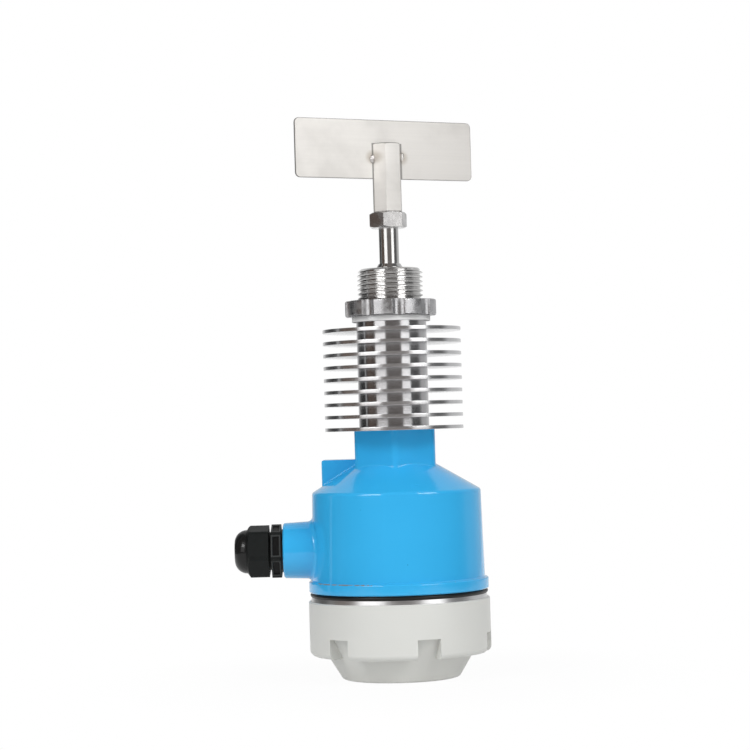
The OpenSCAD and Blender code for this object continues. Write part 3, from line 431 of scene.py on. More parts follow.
def blue_paint():
    """Glossy blue paint outside, worn at the flange, with bare casting inside and in the cable entry."""
    material, tree, shader = new_finish("blue_paint")
    skin = use_group(tree, PAINT_SKIN, Ripple=520.0)
    marks = use_group(tree, HANDLING_MARKS, Spacing=45.0)
    x, y, z, radius = split_place(tree)
    slope = math.tan(SHOULDER_ANGLE)
    peak = (Z_SHOULDER + SHOULDER_R * slope - SHOULDER_SKIN) * MM
    roof = calc(tree, "SUBTRACT", peak, calc(tree, "MULTIPLY", radius, slope))
    under_roof = above_zero(tree, calc(tree, "SUBTRACT", roof, z))
    within = above_zero(tree, calc(tree, "SUBTRACT", CAVITY_R * MM, radius))
    bore_radius = diagonal(tree, y, calc(tree, "SUBTRACT", z, ENTRY_Z * MM))
    bore = all_of(tree, calc(tree, "LESS_THAN", bore_radius, ENTRY_BORE_R * MM),
                  calc(tree, "LESS_THAN", x, 0.0),
                  calc(tree, "GREATER_THAN", x, (0.2 - ENTRY_END_X) * MM))
    inside = calc(tree, "MAXIMUM", all_of(tree, under_roof, within), bore)
    paint = tint(tree, skin["Tone"], (0.032, 0.400, 0.770, 1), (0.040, 0.440, 0.820, 1))
    paint = tint(tree, skin["Speck"], paint, (0.012, 0.24, 0.52, 1))
    edge_low = step_mm(tree, z, Z_BODY - 0.65, Z_BODY - 0.4)
    edge_high = invert(tree, step_mm(tree, z, Z_BODY + 0.2, Z_BODY + 0.4))
    edge_out = step_mm(tree, radius, BODY_R + 0.6, BODY_R + 0.9)
    rubbed = calc(tree, "MULTIPLY", step_mm(tree, calc(tree, "MULTIPLY", x, -1.0), 4, 16), 0.16)
    chips = calc(tree, "ADD", cloud(tree, object_place(tree), 95.0, 5.0, 0.75), rubbed)
    worn = all_of(tree, edge_low, edge_high, edge_out, ramp_step(tree, chips, 0.63, 0.68))
    paint = tint(tree, worn, paint, (0.22, 0.20, 0.17, 1))
    bare, bare_rough = cast_metal_look(tree)
    gloss = spread(tree, marks["Smear"], 0.05, 0.09)
    dress(tree, shader, tint(tree, inside, paint, bare), blend_value(tree, inside, gloss, bare_rough),
          relief(tree, skin["Height"], 0.035, 0.4))
    feed(tree, shader.inputs["Metallic"], inside)
    return material


def grey_paint():
    """Satin light grey powder coat, with the machined land and the inside left bare."""
    material, tree, shader = new_finish("grey_paint")
    skin = use_group(tree, PAINT_SKIN, Ripple=1100.0)
    marks = use_group(tree, HANDLING_MARKS, Spacing=38.0)
    rings = use_group(tree, LATHE_RINGS, Fineness=3600.0)
    z, radius = split_place(tree)[2:]
    land = step_mm(tree, z, COVER_RIM_Z - 0.02, COVER_RIM_Z + 0.06)
    cup = calc(tree, "MULTIPLY_ADD", z, COVER_CUP_SLOPE, COVER_CUP_R * MM)
    wall = calc(tree, "MINIMUM", cup, COVER_SPIGOT_R * MM)
    hollow = all_of(tree, above_zero(tree, calc(tree, "SUBTRACT", wall, radius)),
                    step_mm(tree, z, COVER_FLOOR_Z - 0.1, COVER_FLOOR_Z + 0.1),
                    calc(tree, "LESS_THAN", radius, COVER_BORE_R * MM))
    bare_mask = calc(tree, "MAXIMUM", land, hollow)
    paint = tint(tree, skin["Tone"], (0.640, 0.642, 0.612, 1), (0.690, 0.692, 0.662, 1))
    paint = tint(tree, skin["Speck"], paint, (0.50, 0.50, 0.48, 1))
    cast, cast_rough = cast_metal_look(tree)
    bare = tint(tree, rings["Streak"], (0.66, 0.66, 0.67, 1), (0.97, 0.97, 0.97, 1))
    bare = part_tint(tree, marks["Smear"], 0.4, bare, (0.34, 0.34, 0.34, 1))
    bare = tint(tree, hollow, bare, cast)
    satin = spread(tree, marks["Smear"], 0.40, 0.50)
    rough = blend_value(tree, bare_mask, satin, spread(tree, rings["Streak"], 0.24, 0.44))
    height = calc(tree, "ADD", skin["Height"], calc(tree, "MULTIPLY", rings["Height"], bare_mask))
    dress(tree, shader, tint(tree, bare_mask, paint, bare), blend_value(tree, hollow, rough, cast_rough),
          relief(tree, height, 0.06, 0.3))
    feed(tree, shader.inputs["Metallic"], bare_mask)
    return material


def turned_metal(name, dark, light, rough, fineness, bump):
    """Lathe-turned metal: rings round the drive axis, with handling marks over them."""
    material, tree, shader = new_finish(name, metallic=1.0)
    rings = use_group(tree, LATHE_RINGS, Fineness=fineness)
    marks = use_group(tree, HANDLING_MARKS, Spacing=70.0)
    streaked = spread(tree, rings["Streak"], *rough)
    height = calc(tree, "SUBTRACT", rings["Height"], calc(tree, "MULTIPLY", marks["Scratch"], 0.5))
    dress(tree, shader, tint(tree, rings["Streak"], dark, light),
          calc(tree, "MULTIPLY_ADD", marks["Smear"], 0.06, streaked), relief(tree, height, bump, 0.12))
    return material


def plated_casting(name, dark, light, rough):
    """Plated metal with fine pits and worn, brighter patches."""
    material, tree, shader = new_finish(name, metallic=1.0)
    grain = use_group(tree, MOULDED_GRAIN, Grain=900.0)
    marks = use_group(tree, HANDLING_MARKS, Spacing=110.0)
    colour = tint(tree, grain["Tone"], dark, light)
    colour = part_tint(tree, marks["Scratch"], 0.6, colour, (0.92, 0.92, 0.92, 1))
    height = calc(tree, "ADD", grain["Height"], calc(tree, "MULTIPLY", marks["Smear"], 0.6))
    dress(tree, shader, colour, spread(tree, grain["Tone"], *rough), relief(tree, height, 0.16, 0.2))
    return material


def blade_rim(tree, along, up):
    """How far a point lies outside the blade's rounded outline, in metres."""
    corner = BLADE_CORNER * MM
    side = calc(tree, "ABSOLUTE", calc(tree, "ADD", along, BLADE_SHIFT * MM))
    rise = calc(tree, "ABSOLUTE", calc(tree, "SUBTRACT", up, (BLADE_Z + BLADE_H / 2) * MM))
    side = calc(tree, "MAXIMUM", calc(tree, "SUBTRACT", side, BLADE_W / 2 * MM - corner), 0.0)
    rise = calc(tree, "MAXIMUM", calc(tree, "SUBTRACT", rise, BLADE_H / 2 * MM - corner), 0.0)
    return calc(tree, "SUBTRACT", diagonal(tree, side, rise), corner)


def satin_sheet(name, cut_edges, shade, lean):
    """Satin stainless of the paddle: faint grain, smears, weld heat tint, a painted highlight that pales the
    left, painted shade on edges.
    """
    material, tree, shader = new_finish(name, metallic=1.0)
    place = paddle_place(tree)
    lines = use_group(tree, BRUSHED_LINES, Place=place, Fineness=5200.0)
    marks = use_group(tree, HANDLING_MARKS, Spacing=24.0)
    grain = use_group(tree, MOULDED_GRAIN, Grain=1900.0)
    axes = split_vector(tree, place)
    along, up = axes[0], axes[2]
    dull, plain, clean = [(level * shade, level * shade * 0.976, level * shade * 0.94, 1)
                          for level in (0.530, 0.590, 0.645)]
    colour = tint(tree, lines["Streak"], plain, clean)
    colour = part_tint(tree, marks["Smear"], 0.60, colour, dull)
    # Painted highlight: the colour is scaled brighter towards the left of the blade and stem and darker
    # towards the right, by lean.
    painted_light_slope = tree.nodes.new("ShaderNodeVectorMath")
    painted_light_slope.operation = "SCALE"
    feed(tree, painted_light_slope.inputs[0], colour)
    feed(tree, painted_light_slope.inputs["Scale"], calc(tree, "MULTIPLY_ADD", along, -lean, 1.05))
    aside = calc(tree, "ABSOLUTE", along)
    from_weld = diagonal(tree, calc(tree, "SUBTRACT", aside, WELD_X * MM),
                         calc(tree, "SUBTRACT", up, WELD_Z * MM))
    heat = invert(tree, step_mm(tree, from_weld, 1.6, 4.6))
    colour = part_tint(tree, heat, 0.45, painted_light_slope.outputs[0], (0.34, 0.28, 0.21, 1))
    # Painted shade: the colour darkens along the blade's cut edges and where it meets the stem, and along the
    # stem's corners, top and foot.
    past_stem = calc(tree, "SUBTRACT", aside, STEM_CORNER * MM)
    if cut_edges:
        edge = step_mm(tree, blade_rim(tree, along, up), -0.40, -0.12)
        painted_joint_shade = invert(tree, step_mm(tree, past_stem, 0.1, 0.7))
        painted_joint_shade = all_of(tree, painted_joint_shade, calc(tree, "LESS_THAN", up, (STEM_HIGH + 0.2) * MM))
        edge = calc(tree, "MAXIMUM", edge, painted_joint_shade)
    else:
        edge = step_mm(tree, past_stem, -0.55, -0.20)
        top = step_mm(tree, up, STEM_HIGH - 0.5, STEM_HIGH - 0.2)
        foot = invert(tree, step_mm(tree, up, STEM_LOW + 0.2, STEM_LOW + 0.6))
        edge = calc(tree, "MAXIMUM", edge, calc(tree, "MAXIMUM", top, foot))
    colour = part_tint(tree, edge, 0.75, colour, (0.15, 0.147, 0.143, 1))
    rough = calc(tree, "MULTIPLY_ADD", marks["Smear"], 0.06, spread(tree, grain["Height"], 0.54, 0.66))
    height = calc(tree, "SUBTRACT", calc(tree, "ADD", lines["Height"], grain["Height"]),
                  calc(tree, "MULTIPLY", marks["Scratch"], 0.4))
    dress(tree, shader, colour, rough, relief(tree, height, 0.07, 0.1))
    return material


def scuffed_steel():
    """Bright nut steel, scuffed by a spanner."""
    material, tree, shader = new_finish("scuffed_steel", metallic=1.0)
    marks = use_group(tree, HANDLING_MARKS, Spacing=150.0)
    grain = use_group(tree, MOULDED_GRAIN, Grain=700.0)
    colour = tint(tree, grain["Tone"], (0.52, 0.515, 0.51, 1), (0.74, 0.735, 0.73, 1))
    colour = part_tint(tree, marks["Smear"], 0.5, colour, (0.36, 0.357, 0.354, 1))
    height = calc(tree, "SUBTRACT", grain["Height"], calc(tree, "MULTIPLY", marks["Scratch"], 0.6))
    dress(tree, shader, colour, spread(tree, marks["Smear"], 0.16, 0.34), relief(tree, height, 0.10, 0.2))
    return material


def cast_ring():
    """Plated ring with the wavy skin and pits of its casting."""
    material, tree, shader = new_finish("cast_ring", metallic=1.0)
    place = object_place(tree)
    marks = use_group(tree, HANDLING_MARKS, Spacing=130.0)
    wave = cloud(tree, place, 520.0, 3.0, 0.6)
    pits = ramp_step(tree, cloud(tree, place, 1500.0, 2.0, 0.6), 0.60, 0.70)
    colour = tint(tree, wave, (0.39, 0.39, 0.40, 1), (0.64, 0.64, 0.65, 1))
    colour = part_tint(tree, pits, 0.55, colour, (0.20, 0.20, 0.21, 1))
    height = calc(tree, "SUBTRACT", wave, calc(tree, "MULTIPLY", pits, 0.5))
    dress(tree, shader, colour, spread(tree, marks["Smear"], 0.26, 0.44), relief(tree, height, 0.16, 0.3))
    return material


def weld_metal():
    """Bright weld bead, with duller patches."""
    material, tree, shader = new_finish("weld_metal", metallic=1.0)
    grain = use_group(tree, MOULDED_GRAIN, Grain=1700.0)
    patches = ramp_step(tree, grain["Tone"], 0.40, 0.62)
    dress(tree, shader, tint(tree, patches, (0.74, 0.72, 0.69, 1), (0.58, 0.56, 0.55, 1)),
          spread(tree, grain["Tone"], 0.30, 0.46), relief(tree, grain["Height"], 0.2, 0.2))
    return material


def gland_flats(tree):
    """Masks of the gland hexagon's sunk panels and of the frames round them."""
    x, y, z = split_place(tree)[:3]
    rise = calc(tree, "SUBTRACT", z, ENTRY_Z * MM)
    reach = 0.0
    for turn in (45, 105, 165):
        angle = math.radians(turn)
        across = calc(tree, "MULTIPLY_ADD", rise, math.sin(angle), calc(tree, "MULTIPLY", y, math.cos(angle)))
        reach = calc(tree, "MAXIMUM", reach, calc(tree, "ABSOLUTE", across))
    flange = calc(tree, "GREATER_THAN", x, -(GLAND_FACE + GLAND_FLANGE) * MM)
    outer = step_mm(tree, reach, GLAND_AF / 2 - 0.45, GLAND_AF / 2 - 0.2)
    frame_reach = math.hypot(GLAND_AF / 2, GLAND_AF * 0.2 + 0.8) * MM
    near = calc(tree, "LESS_THAN", diagonal(tree, y, rise), frame_reach)
    return all_of(tree, invert(tree, outer), flange), all_of(tree, outer, near, flange)


def black_nylon():
    """Black moulded nylon, grained on its hexagons and glossy on the dome, with painted shade in the sunk
    panels and a painted highlight on their frames.
    """
    material, tree, shader = new_finish("black_nylon")
    grain = use_group(tree, MOULDED_GRAIN, Grain=3000.0)
    outward = calc(tree, "MULTIPLY", split_place(tree)[0], -1.0)
    dome = step_mm(tree, outward, GLAND_DOME_X - 0.8, GLAND_DOME_X + 0.8)
    painted_panel_shade, painted_frame_highlight = gland_flats(tree)
    colour = tint(tree, grain["Tone"], (0.0062, 0.0074, 0.0071, 1), (0.0102, 0.0118, 0.0114, 1))
    # Painted shade darkens the sunk panels, and a painted highlight lightens the frames round them.
    colour = tint(tree, painted_panel_shade, colour, (0.0040, 0.0042, 0.0041, 1))
    colour = tint(tree, painted_frame_highlight, colour, (0.040, 0.042, 0.041, 1))
    colour = tint(tree, dome, colour, (0.0050, 0.0055, 0.0053, 1))
    height = calc(tree, "MULTIPLY", grain["Height"], invert(tree, dome))
    dress(tree, shader, colour, spread(tree, grain["Tone"], 0.42, 0.54), relief(tree, height, 0.12, 0.2))
    feed(tree, shader.inputs["Coat Weight"], calc(tree, "MULTIPLY", dome, 0.45))
    shader.inputs["Coat Roughness"].default_value = 0.04
    shader.inputs["Specular IOR Level"].default_value = 0.12
    return material


def moulded_plastic(name, dark, light, rough, grain_size, bump, sheen_level=0.5):
    """Moulded plastic or rubber with a soft grain."""
    material, tree, shader = new_finish(name)
    shader.inputs["Specular IOR Level"].default_value = sheen_level
    grain = use_group(tree, MOULDED_GRAIN, Grain=grain_size)
    marks = use_group(tree, HANDLING_MARKS, Spacing=90.0)
    worn = calc(tree, "MULTIPLY_ADD", marks["Smear"], 0.08, spread(tree, grain["Tone"], *rough))
    colour = tint(tree, grain["Tone"], dark, light)
    dress(tree, shader, colour, worn, relief(tree, grain["Height"], bump, 0.2))
    return material


def board_laminate():
    """Brown paper laminate with a faint fibre."""
    material, tree, shader = new_finish("board_laminate")
    fibre = use_group(tree, BRUSHED_LINES, Place=object_place(tree), Fineness=2600.0)
    grain = use_group(tree, MOULDED_GRAIN, Grain=1800.0)
    dress(tree, shader, tint(tree, fibre["Streak"], (0.13, 0.070, 0.028, 1), (0.20, 0.115, 0.050, 1)),
          spread(tree, grain["Tone"], 0.38, 0.52), relief(tree, grain["Height"], 0.05, 0.2))
    return material


# Dark and light colour, roughness, grain, relief and shine of each moulded finish
MOULDED = {
    "black_rubber": ((0.004, 0.004, 0.004, 1), (0.009, 0.009, 0.009, 1), (0.30, 0.44), 2200.0, 0.08, 0.28),
    "white_gasket": ((0.74, 0.74, 0.74, 1), (0.82, 0.82, 0.82, 1), (0.42, 0.55), 1600.0, 0.08),
    "black_phenolic": ((0.012, 0.012, 0.013, 1), (0.022, 0.021, 0.021, 1), (0.36, 0.48), 2400.0, 0.06),
    "red_plastic": ((0.40, 0.018, 0.014, 1), (0.48, 0.026, 0.018, 1), (0.28, 0.40), 2000.0, 0.05),
    "cream_plastic": ((0.68, 0.64, 0.54, 1), (0.76, 0.72, 0.62, 1), (0.34, 0.46), 1500.0, 0.05),
}

# Dark and light colour, roughness, fineness and relief of each turned finish
TURNED = {
    # Painted shade: turned_aluminium, worn by the heat sink's core, is darker than fin_aluminium, the same
    # metal on the fins.
    "turned_aluminium": ((0.50, 0.50, 0.51, 1), (0.67, 0.67, 0.68, 1), (0.10, 0.24), 3200.0, 0.10),
    "fin_aluminium": ((0.70, 0.70, 0.71, 1), (0.93, 0.93, 0.94, 1), (0.15, 0.27), 2600.0, 0.10),
    "bright_steel": ((0.58, 0.575, 0.57, 1), (0.84, 0.835, 0.83, 1), (0.08, 0.22), 4200.0, 0.08),
    "bearing_steel": ((0.60, 0.61, 0.63, 1), (0.78, 0.79, 0.81, 1), (0.06, 0.16), 5200.0, 0.05),
    "brass": ((0.60, 0.44, 0.16, 1), (0.80, 0.62, 0.28, 1), (0.16, 0.32), 3600.0, 0.08),
}

# Dark and light colour and roughness of each plated finish
PLATED = {
    "spring_steel": ((0.34, 0.34, 0.36, 1), (0.52, 0.52, 0.54, 1), (0.22, 0.36)),
    "zinc_plate": ((0.58, 0.59, 0.60, 1), (0.72, 0.73, 0.75, 1), (0.26, 0.42)),
}

FINISHES = {
    "grey_paint": grey_paint(),
    "blue_paint": blue_paint(),
    "black_nylon": black_nylon(),
    "plated_ring": cast_ring(),
    "blade_steel": satin_sheet("stem_steel", False, 1.07, 20.0),
    "blade_sheet": satin_sheet("blade_sheet", True, 1.07, 2.2),
    "scuffed_steel": scuffed_steel(),
    "weld_metal": weld_metal(),
    "board_laminate": board_laminate(),
}
for make_finish, table in ((moulded_plastic, MOULDED), (turned_metal, TURNED), (plated_casting, PLATED)):
    for finish_name, finish_values in table.items():
        FINISHES[finish_name] = make_finish(finish_name, *finish_values)


def paint_nodes():
    """Gives every solid of the frame the finish of its slot."""
    for part in frame["record"]["subparts"]:
        mesh = nodes[part["node"]].data
        mesh.materials.clear()
        mesh.materials.append(FINISHES[part["material_slot"]])


# Modelling helpers


def start_alone():
    """Nothing selected before the next operator."""
    bpy.ops.object.select_all(action="DESELECT")


def take_alone(piece):
    """Only this piece selected and active."""
    start_alone()
    piece.select_set(True)
    bpy.context.view_layer.objects.active = piece


def open_mesh(piece):
    """A piece in edit mode with all of it selected."""
    take_alone(piece)
    bpy.ops.object.mode_set(mode="EDIT")
    bpy.ops.mesh.select_all(action="SELECT")


def close_mesh():
    """Back from edit mode."""
    bpy.ops.object.mode_set(mode="OBJECT")


def pick(piece, kind, wanted):
    """Selects only the wanted faces or edges of an open mesh."""
    bpy.ops.mesh.select_mode(type=kind)
    bpy.ops.mesh.select_all(action="DESELECT")
    shape = bmesh.from_edit_mesh(piece.data)
    for element in shape.faces if kind == "FACE" else shape.edges:
        element.select_set(wanted(element))
    bmesh.update_edit_mesh(piece.data)


def join(pieces):
    """Joins pieces into the first of them."""
    start_alone()
    for piece in pieces:
        piece.select_set(True)
    bpy.context.view_layer.objects.active = pieces[0]
    bpy.ops.object.join()
    return pieces[0]


def place_in_scene(name, data):
    """A new object for a mesh, curve, lamp or camera."""
    made = bpy.data.objects.new(name, data)
    scene.collection.objects.link(made)
    return made


def settle(piece, name, finish, body, smooth=35.0):
    """Names a finished piece, gives it a finish and lets it ride on its body."""
    take_alone(piece)
    bpy.ops.object.transform_apply(location=True, rotation=True, scale=True)
    bpy.ops.object.shade_smooth_by_angle(angle=math.radians(smooth))
    piece.name = name
    piece.data.name = name
    piece.data.materials.clear()
    piece.data.materials.append(FINISHES[finish])
    if body:
        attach(piece, body)


def apply_modifier(piece, kind, **settings):
    """Adds a modifier, sets it and applies it."""
    take_alone(piece)
    made = piece.modifiers.new(kind.lower(), kind)
    for label, value in settings.items():
        setattr(made, label, value)
    bpy.ops.object.modifier_apply(modifier=made.name)


def loft(name, sections, closed):
    """A closed skin through rings of points, joined end to end or capped."""
    skin = bmesh.new()
    rings = [[skin.verts.new(point) for point in section] for section in sections]
    count = len(rings)
    around = len(rings[0])
    for i in range(count if closed else count - 1):
        here, there = rings[i], rings[(i + 1) % count]
        for k in range(around):
            skin.faces.new((here[k], here[(k + 1) % around], there[(k + 1) % around], there[k]))
    if not closed:
        skin.faces.new(list(reversed(rings[0])))
        skin.faces.new(rings[-1])
    bmesh.ops.recalc_face_normals(skin, faces=skin.faces)
    mesh = bpy.data.meshes.new(name)
    skin.to_mesh(mesh)
    skin.free()
    return place_in_scene(name, mesh)


def fillet_section(centre, to_first, to_second, radius, steps=9, flap=0.5, sink=0.015):
    """Points of a fillet's section in millimetres, given the ball's centre and the two ways to its walls."""
    first, second = to_first.normalized(), to_second.normalized()
    lean = first.dot(second)
    opening = first.angle(second)
    points = [centre + (first + second) * ((radius + 0.4) / (1 + lean))]
    points.append(centre + first * (radius + sink) - (second - first * lean).normalized() * flap)
    for i in range(steps + 1):
        share = i / steps
        way = first * math.sin((1 - share) * opening) + second * math.sin(share * opening)
        points.append(centre + way / math.sin(opening) * radius)
    points.append(centre + second * (radius + sink) - (first - second * lean).normalized() * flap)
    return [point * MM for point in points]


# Eased edges


def copy_solid(node, name):
    """A copy of a solid's mesh, with its loose triangles joined and its flat faces made whole."""
    piece = place_in_scene(name, nodes[node].data.copy())
    take_alone(piece)
    bpy.ops.mesh.customdata_custom_splitnormals_clear()
    open_mesh(piece)
    bpy.ops.mesh.remove_doubles(threshold=0.002 * MM)
    bpy.ops.mesh.dissolve_limited(angle_limit=math.radians(0.4))
    close_mesh()
    return piece


def stand_for(piece, node, finish, smooth):
    """Shows a worked copy in place of its solid."""
    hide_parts(node)
    settle(piece, piece.name, finish, nodes[node]["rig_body"], smooth)
    apply_modifier(piece, "WEIGHTED_NORMAL", keep_sharp=True)


def round_edges(piece, width, angle):
    """Rounds the edges sharper than an angle, and clears the slivers that leaves."""
    apply_modifier(piece, "BEVEL", width=width * MM, segments=3, limit_method="ANGLE",
                   angle_limit=math.radians(angle), use_clamp_overlap=True)
    open_mesh(piece)
    bpy.ops.mesh.dissolve_degenerate(threshold=0.0005 * MM)
    close_mesh()


def ease_bright_pieces():
    """Pieces whose edges the photograph shows worn or rounded, and the housing with smooth shading."""
    eased = (
        ("lock_ring", "lock_ring_eased", 0.30, "plated_ring"),
        ("jam_nut", "jam_nut_eased", 0.25, "scuffed_steel"),
        ("paddle_stem", "stem_eased", 0.30, "blade_steel"),
        ("paddle_blade", "blade_eased", 0.22, "blade_sheet"),
        ("gland_body", "gland_body_eased", 0.30, "black_nylon"),
        ("gland_dome_nut", "dome_nut_eased", 0.40, "black_nylon"),
    )
    for node, name, width, finish in eased:
        piece = copy_solid(node, name)
        round_edges(piece, width, 32.0)
        stand_for(piece, node, finish, 40.0)
    stand_for(copy_solid("housing", "housing_smooth"), "housing", "blue_paint", 24.0)


def ease_cover():
    """The cover with rounded notch edges, and its bare land turned a little conical."""
    piece = copy_solid("cover", "cover_eased")
    for vert in piece.data.vertices:
        off_land = abs(vert.co.xy.length / MM - COVER_LAND_R)
        off_rim = abs(vert.co.z / MM - COVER_RIM_Z)
        if max(off_land, off_rim) < 0.02:
            vert.co.xy *= LAND_FOOT_R / COVER_LAND_R
    round_edges(piece, 0.40, 40.0)
    stand_for(piece, "cover", "grey_paint", 40.0)


# Cooling fins


def on_fin_rim(edge):
    """Whether an edge runs round a fin's outer rim."""
    level = abs(edge.verts[0].co.z - edge.verts[1].co.z) < 1e-6
    return level and min(vert.co.xy.length for vert in edge.verts) > (FIN_R - 0.1) * MM


def turn_fins():
    """Nine turned discs, each with a crisp broken edge, pressed on the core."""
    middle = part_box("cooling_fins")[0].z / MM + FIN_T / 2
    start_alone()
    bpy.ops.mesh.primitive_cylinder_add(vertices=192, radius=FIN_R * MM, depth=FIN_T * MM)
    disc = bpy.context.active_object
    open_mesh(disc)
    pick(disc, "FACE", lambda face: abs(face.normal.z) > 0.9)
    bpy.ops.mesh.inset(thickness=(FIN_R - FIN_BORE_R) * MM, depth=0, use_individual=True)
    bpy.ops.mesh.bridge_edge_loops()
    pick(disc, "EDGE", on_fin_rim)
    bpy.ops.mesh.bevel(offset=0.10 * MM, segments=2, affect="EDGES")
    close_mesh()
    discs = [disc]
    for k in range(1, FIN_COUNT):
        discs.append(place_in_scene(f"fin_{k}", disc.data.copy()))
    for k, twin in enumerate(discs):
        twin.data.transform(Matrix.Translation((0, 0, (middle + k * FIN_PITCH) * MM)))
    join(discs)
    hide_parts("cooling_fins")
    settle(disc, "turned_fins", "fin_aluminium", "housing", 30.0)
    apply_modifier(disc, "WEIGHTED_NORMAL", keep_sharp=True)


# Cover thread


def screw_ridge(name, root_r, crest_r, foot, finish, body):
    """A fine screw thread on one wall, as a single helical ridge."""
    start_alone()
    bpy.ops.mesh.primitive_plane_add(size=1.0)
    piece = bpy.context.active_object
    outline = {0: (root_r, -0.34), 1: (crest_r, -0.06), 3: (crest_r, 0.06), 2: (root_r, 0.34)}
    for index, (reach, rise) in outline.items():
        piece.data.vertices[index].co = Vector((reach, 0, foot + rise)) * MM
    open_mesh(piece)
    bpy.ops.mesh.delete(type="ONLY_FACE")
    close_mesh()
    apply_modifier(piece, "SCREW", axis="Z", angle=2 * math.pi, screw_offset=COVER_THREAD_PITCH * MM,
                   iterations=COVER_THREAD_TURNS, steps=96, render_steps=96)
    open_mesh(piece)
    bpy.ops.mesh.fill_holes(sides=6)
    bpy.ops.mesh.select_all(action="SELECT")
    bpy.ops.mesh.normals_make_consistent(inside=False)
    close_mesh()
    settle(piece, name, finish, body, 30.0)


def cut_cover_thread():
    """Matching ridges on the cover's spigot and in the housing's mouth."""
    screw_ridge("spigot_thread", 39.9, 40.16, 47.2, "grey_paint", "cover")
    screw_ridge("mouth_thread", 40.3, 40.03, 47.95, "blue_paint", "housing")


# Housing fillets


def body_radius(z):
    """Radius of the housing's drafted round wall at a height."""
    return BODY_R - (z - Z_BODY) * math.tan(BODY_DRAFT)


def entry_fillet(radius=2.4, count=120):
    """Cast fillet where the cable entry boss leaves the round wall."""
    sections = []
    for i in range(count):
        angle = 2 * math.pi * i / count
        boss = ENTRY_ROOT_R
        for _ in range(4):
            y = (boss + radius) * math.cos(angle)
            z = ENTRY_Z + (boss + radius) * math.sin(angle)
            x = -math.sqrt((body_radius(z) + radius) ** 2 - y * y)
            share = (-x - ENTRY_ROOT_X) / (ENTRY_END_X - ENTRY_ROOT_X)
            boss = ENTRY_ROOT_R + (ENTRY_END_R - ENTRY_ROOT_R) * share
        to_boss = Vector((0, -math.cos(angle), -math.sin(angle)))
        to_wall = Vector((-x, -y, 0)).normalized()
        sections.append(fillet_section(Vector((x, y, z)), to_boss, to_wall, radius))
    return loft("entry_fillet", sections, True)


def shoulder_fillet(name, outline, closed, radius):
    """Fillet where an upright wall stands on the conical shoulder; outline holds points and outward ways."""
    sections = []
    slope = math.tan(SHOULDER_ANGLE)
    for point, way in outline:
        flat = point + way * radius
        z = Z_SHOULDER + (SHOULDER_R - flat.length) * slope + radius / math.cos(SHOULDER_ANGLE)
        centre = Vector((flat.x, flat.y, z))
        out = Vector((flat.x, flat.y, 0)).normalized()
        to_cone = -(out * math.sin(SHOULDER_ANGLE) + Vector((0, 0, math.cos(SHOULDER_ANGLE))))
        sections.append(fillet_section(centre, Vector((-way.x, -way.y, 0)), to_cone, radius))
    return loft(name, sections, closed)


def heading(angle):
    """A flat vector of length 1 at an angle."""
    return Vector((math.cos(angle), math.sin(angle)))


def neck_outline(flat_steps=10, corner_steps=6):
    """Points and outward ways round the neck's hexagon, which has a corner towards the viewer."""
    outline = []
    sixth = math.pi / 3
    reach = (NECK_AF / 2 - NECK_CORNER) / math.cos(sixth / 2)
    for k in range(6):
        middle = sixth / 2 + k * sixth
        hub = heading(middle) * reach
        for i in range(corner_steps + 1):
            way = heading(middle + (i / corner_steps - 0.5) * sixth)
            outline.append((hub + way * NECK_CORNER, way))
        next_hub = heading(middle + sixth) * reach
        way = heading(middle + sixth / 2)
        for i in range(1, flat_steps):
            outline.append((hub.lerp(next_hub, i / flat_steps) + way * NECK_CORNER, way))
    return outline


def lug_outline(steps=16, corner_steps=5):
    """Points and outward ways along the lug's front, side and back."""
    front_hub = Vector((LUG_ROUND - LUG_REACH, LUG_ROUND))
    back_hub = Vector((LUG_ROUND - LUG_REACH, LUG_DEPTH - LUG_ROUND))
    walls = (
        (Vector((-LUG_FRONT_ROOT, 0)), Vector((front_hub.x, 0)), Vector((0, -1)), front_hub, 270),
        (Vector((-LUG_REACH, front_hub.y)), Vector((-LUG_REACH, back_hub.y)), Vector((-1, 0)), back_hub, 180),
        (Vector((back_hub.x, LUG_DEPTH)), Vector((-LUG_BACK_ROOT, LUG_DEPTH)), Vector((0, 1)), None, 0),
    )
    outline = []
    for start, end, way, hub, first in walls:
        outline += [(start.lerp(end, i / steps), way) for i in range(steps + 1)]
        for i in range(1, corner_steps if hub else 1):
            turned = heading(math.radians(first - 90 * i / corner_steps))
            outline.append((hub + turned * LUG_ROUND, turned))
    return outline


def fill_housing_corners():
    """The casting's inner corners, which the solids leave sharp."""
    fillets = (
        entry_fillet(),
        shoulder_fillet("neck_fillet", neck_outline(), True, 1.3),
        shoulder_fillet("lug_fillet", lug_outline(), False, 0.8),
    )
    for piece in fillets:
        settle(piece, piece.name, "blue_paint", "housing")


# Process thread


def thread_radius(z, angle, tip, depth=1.40, flat=0.14, chamfer=1.7):
    """Radius of the rounded thread at a height and an angle, in millimetres, with its tip chamfered."""
    phase = z / THREAD_PITCH - angle / (2 * math.pi)
    flank = abs(2 * (phase - math.floor(phase)) - 1)
    share = min(1.0, max(0.0, (flank - flat) / (1 - 2 * flat)))
    rounded = share * share * (3 - 2 * share)
    cut = depth * (0.55 * share + 0.45 * rounded)
    return min(THREAD_CREST - cut, THREAD_CREST + 0.1 - 1.25 * max(0.0, z - (tip - chamfer)))


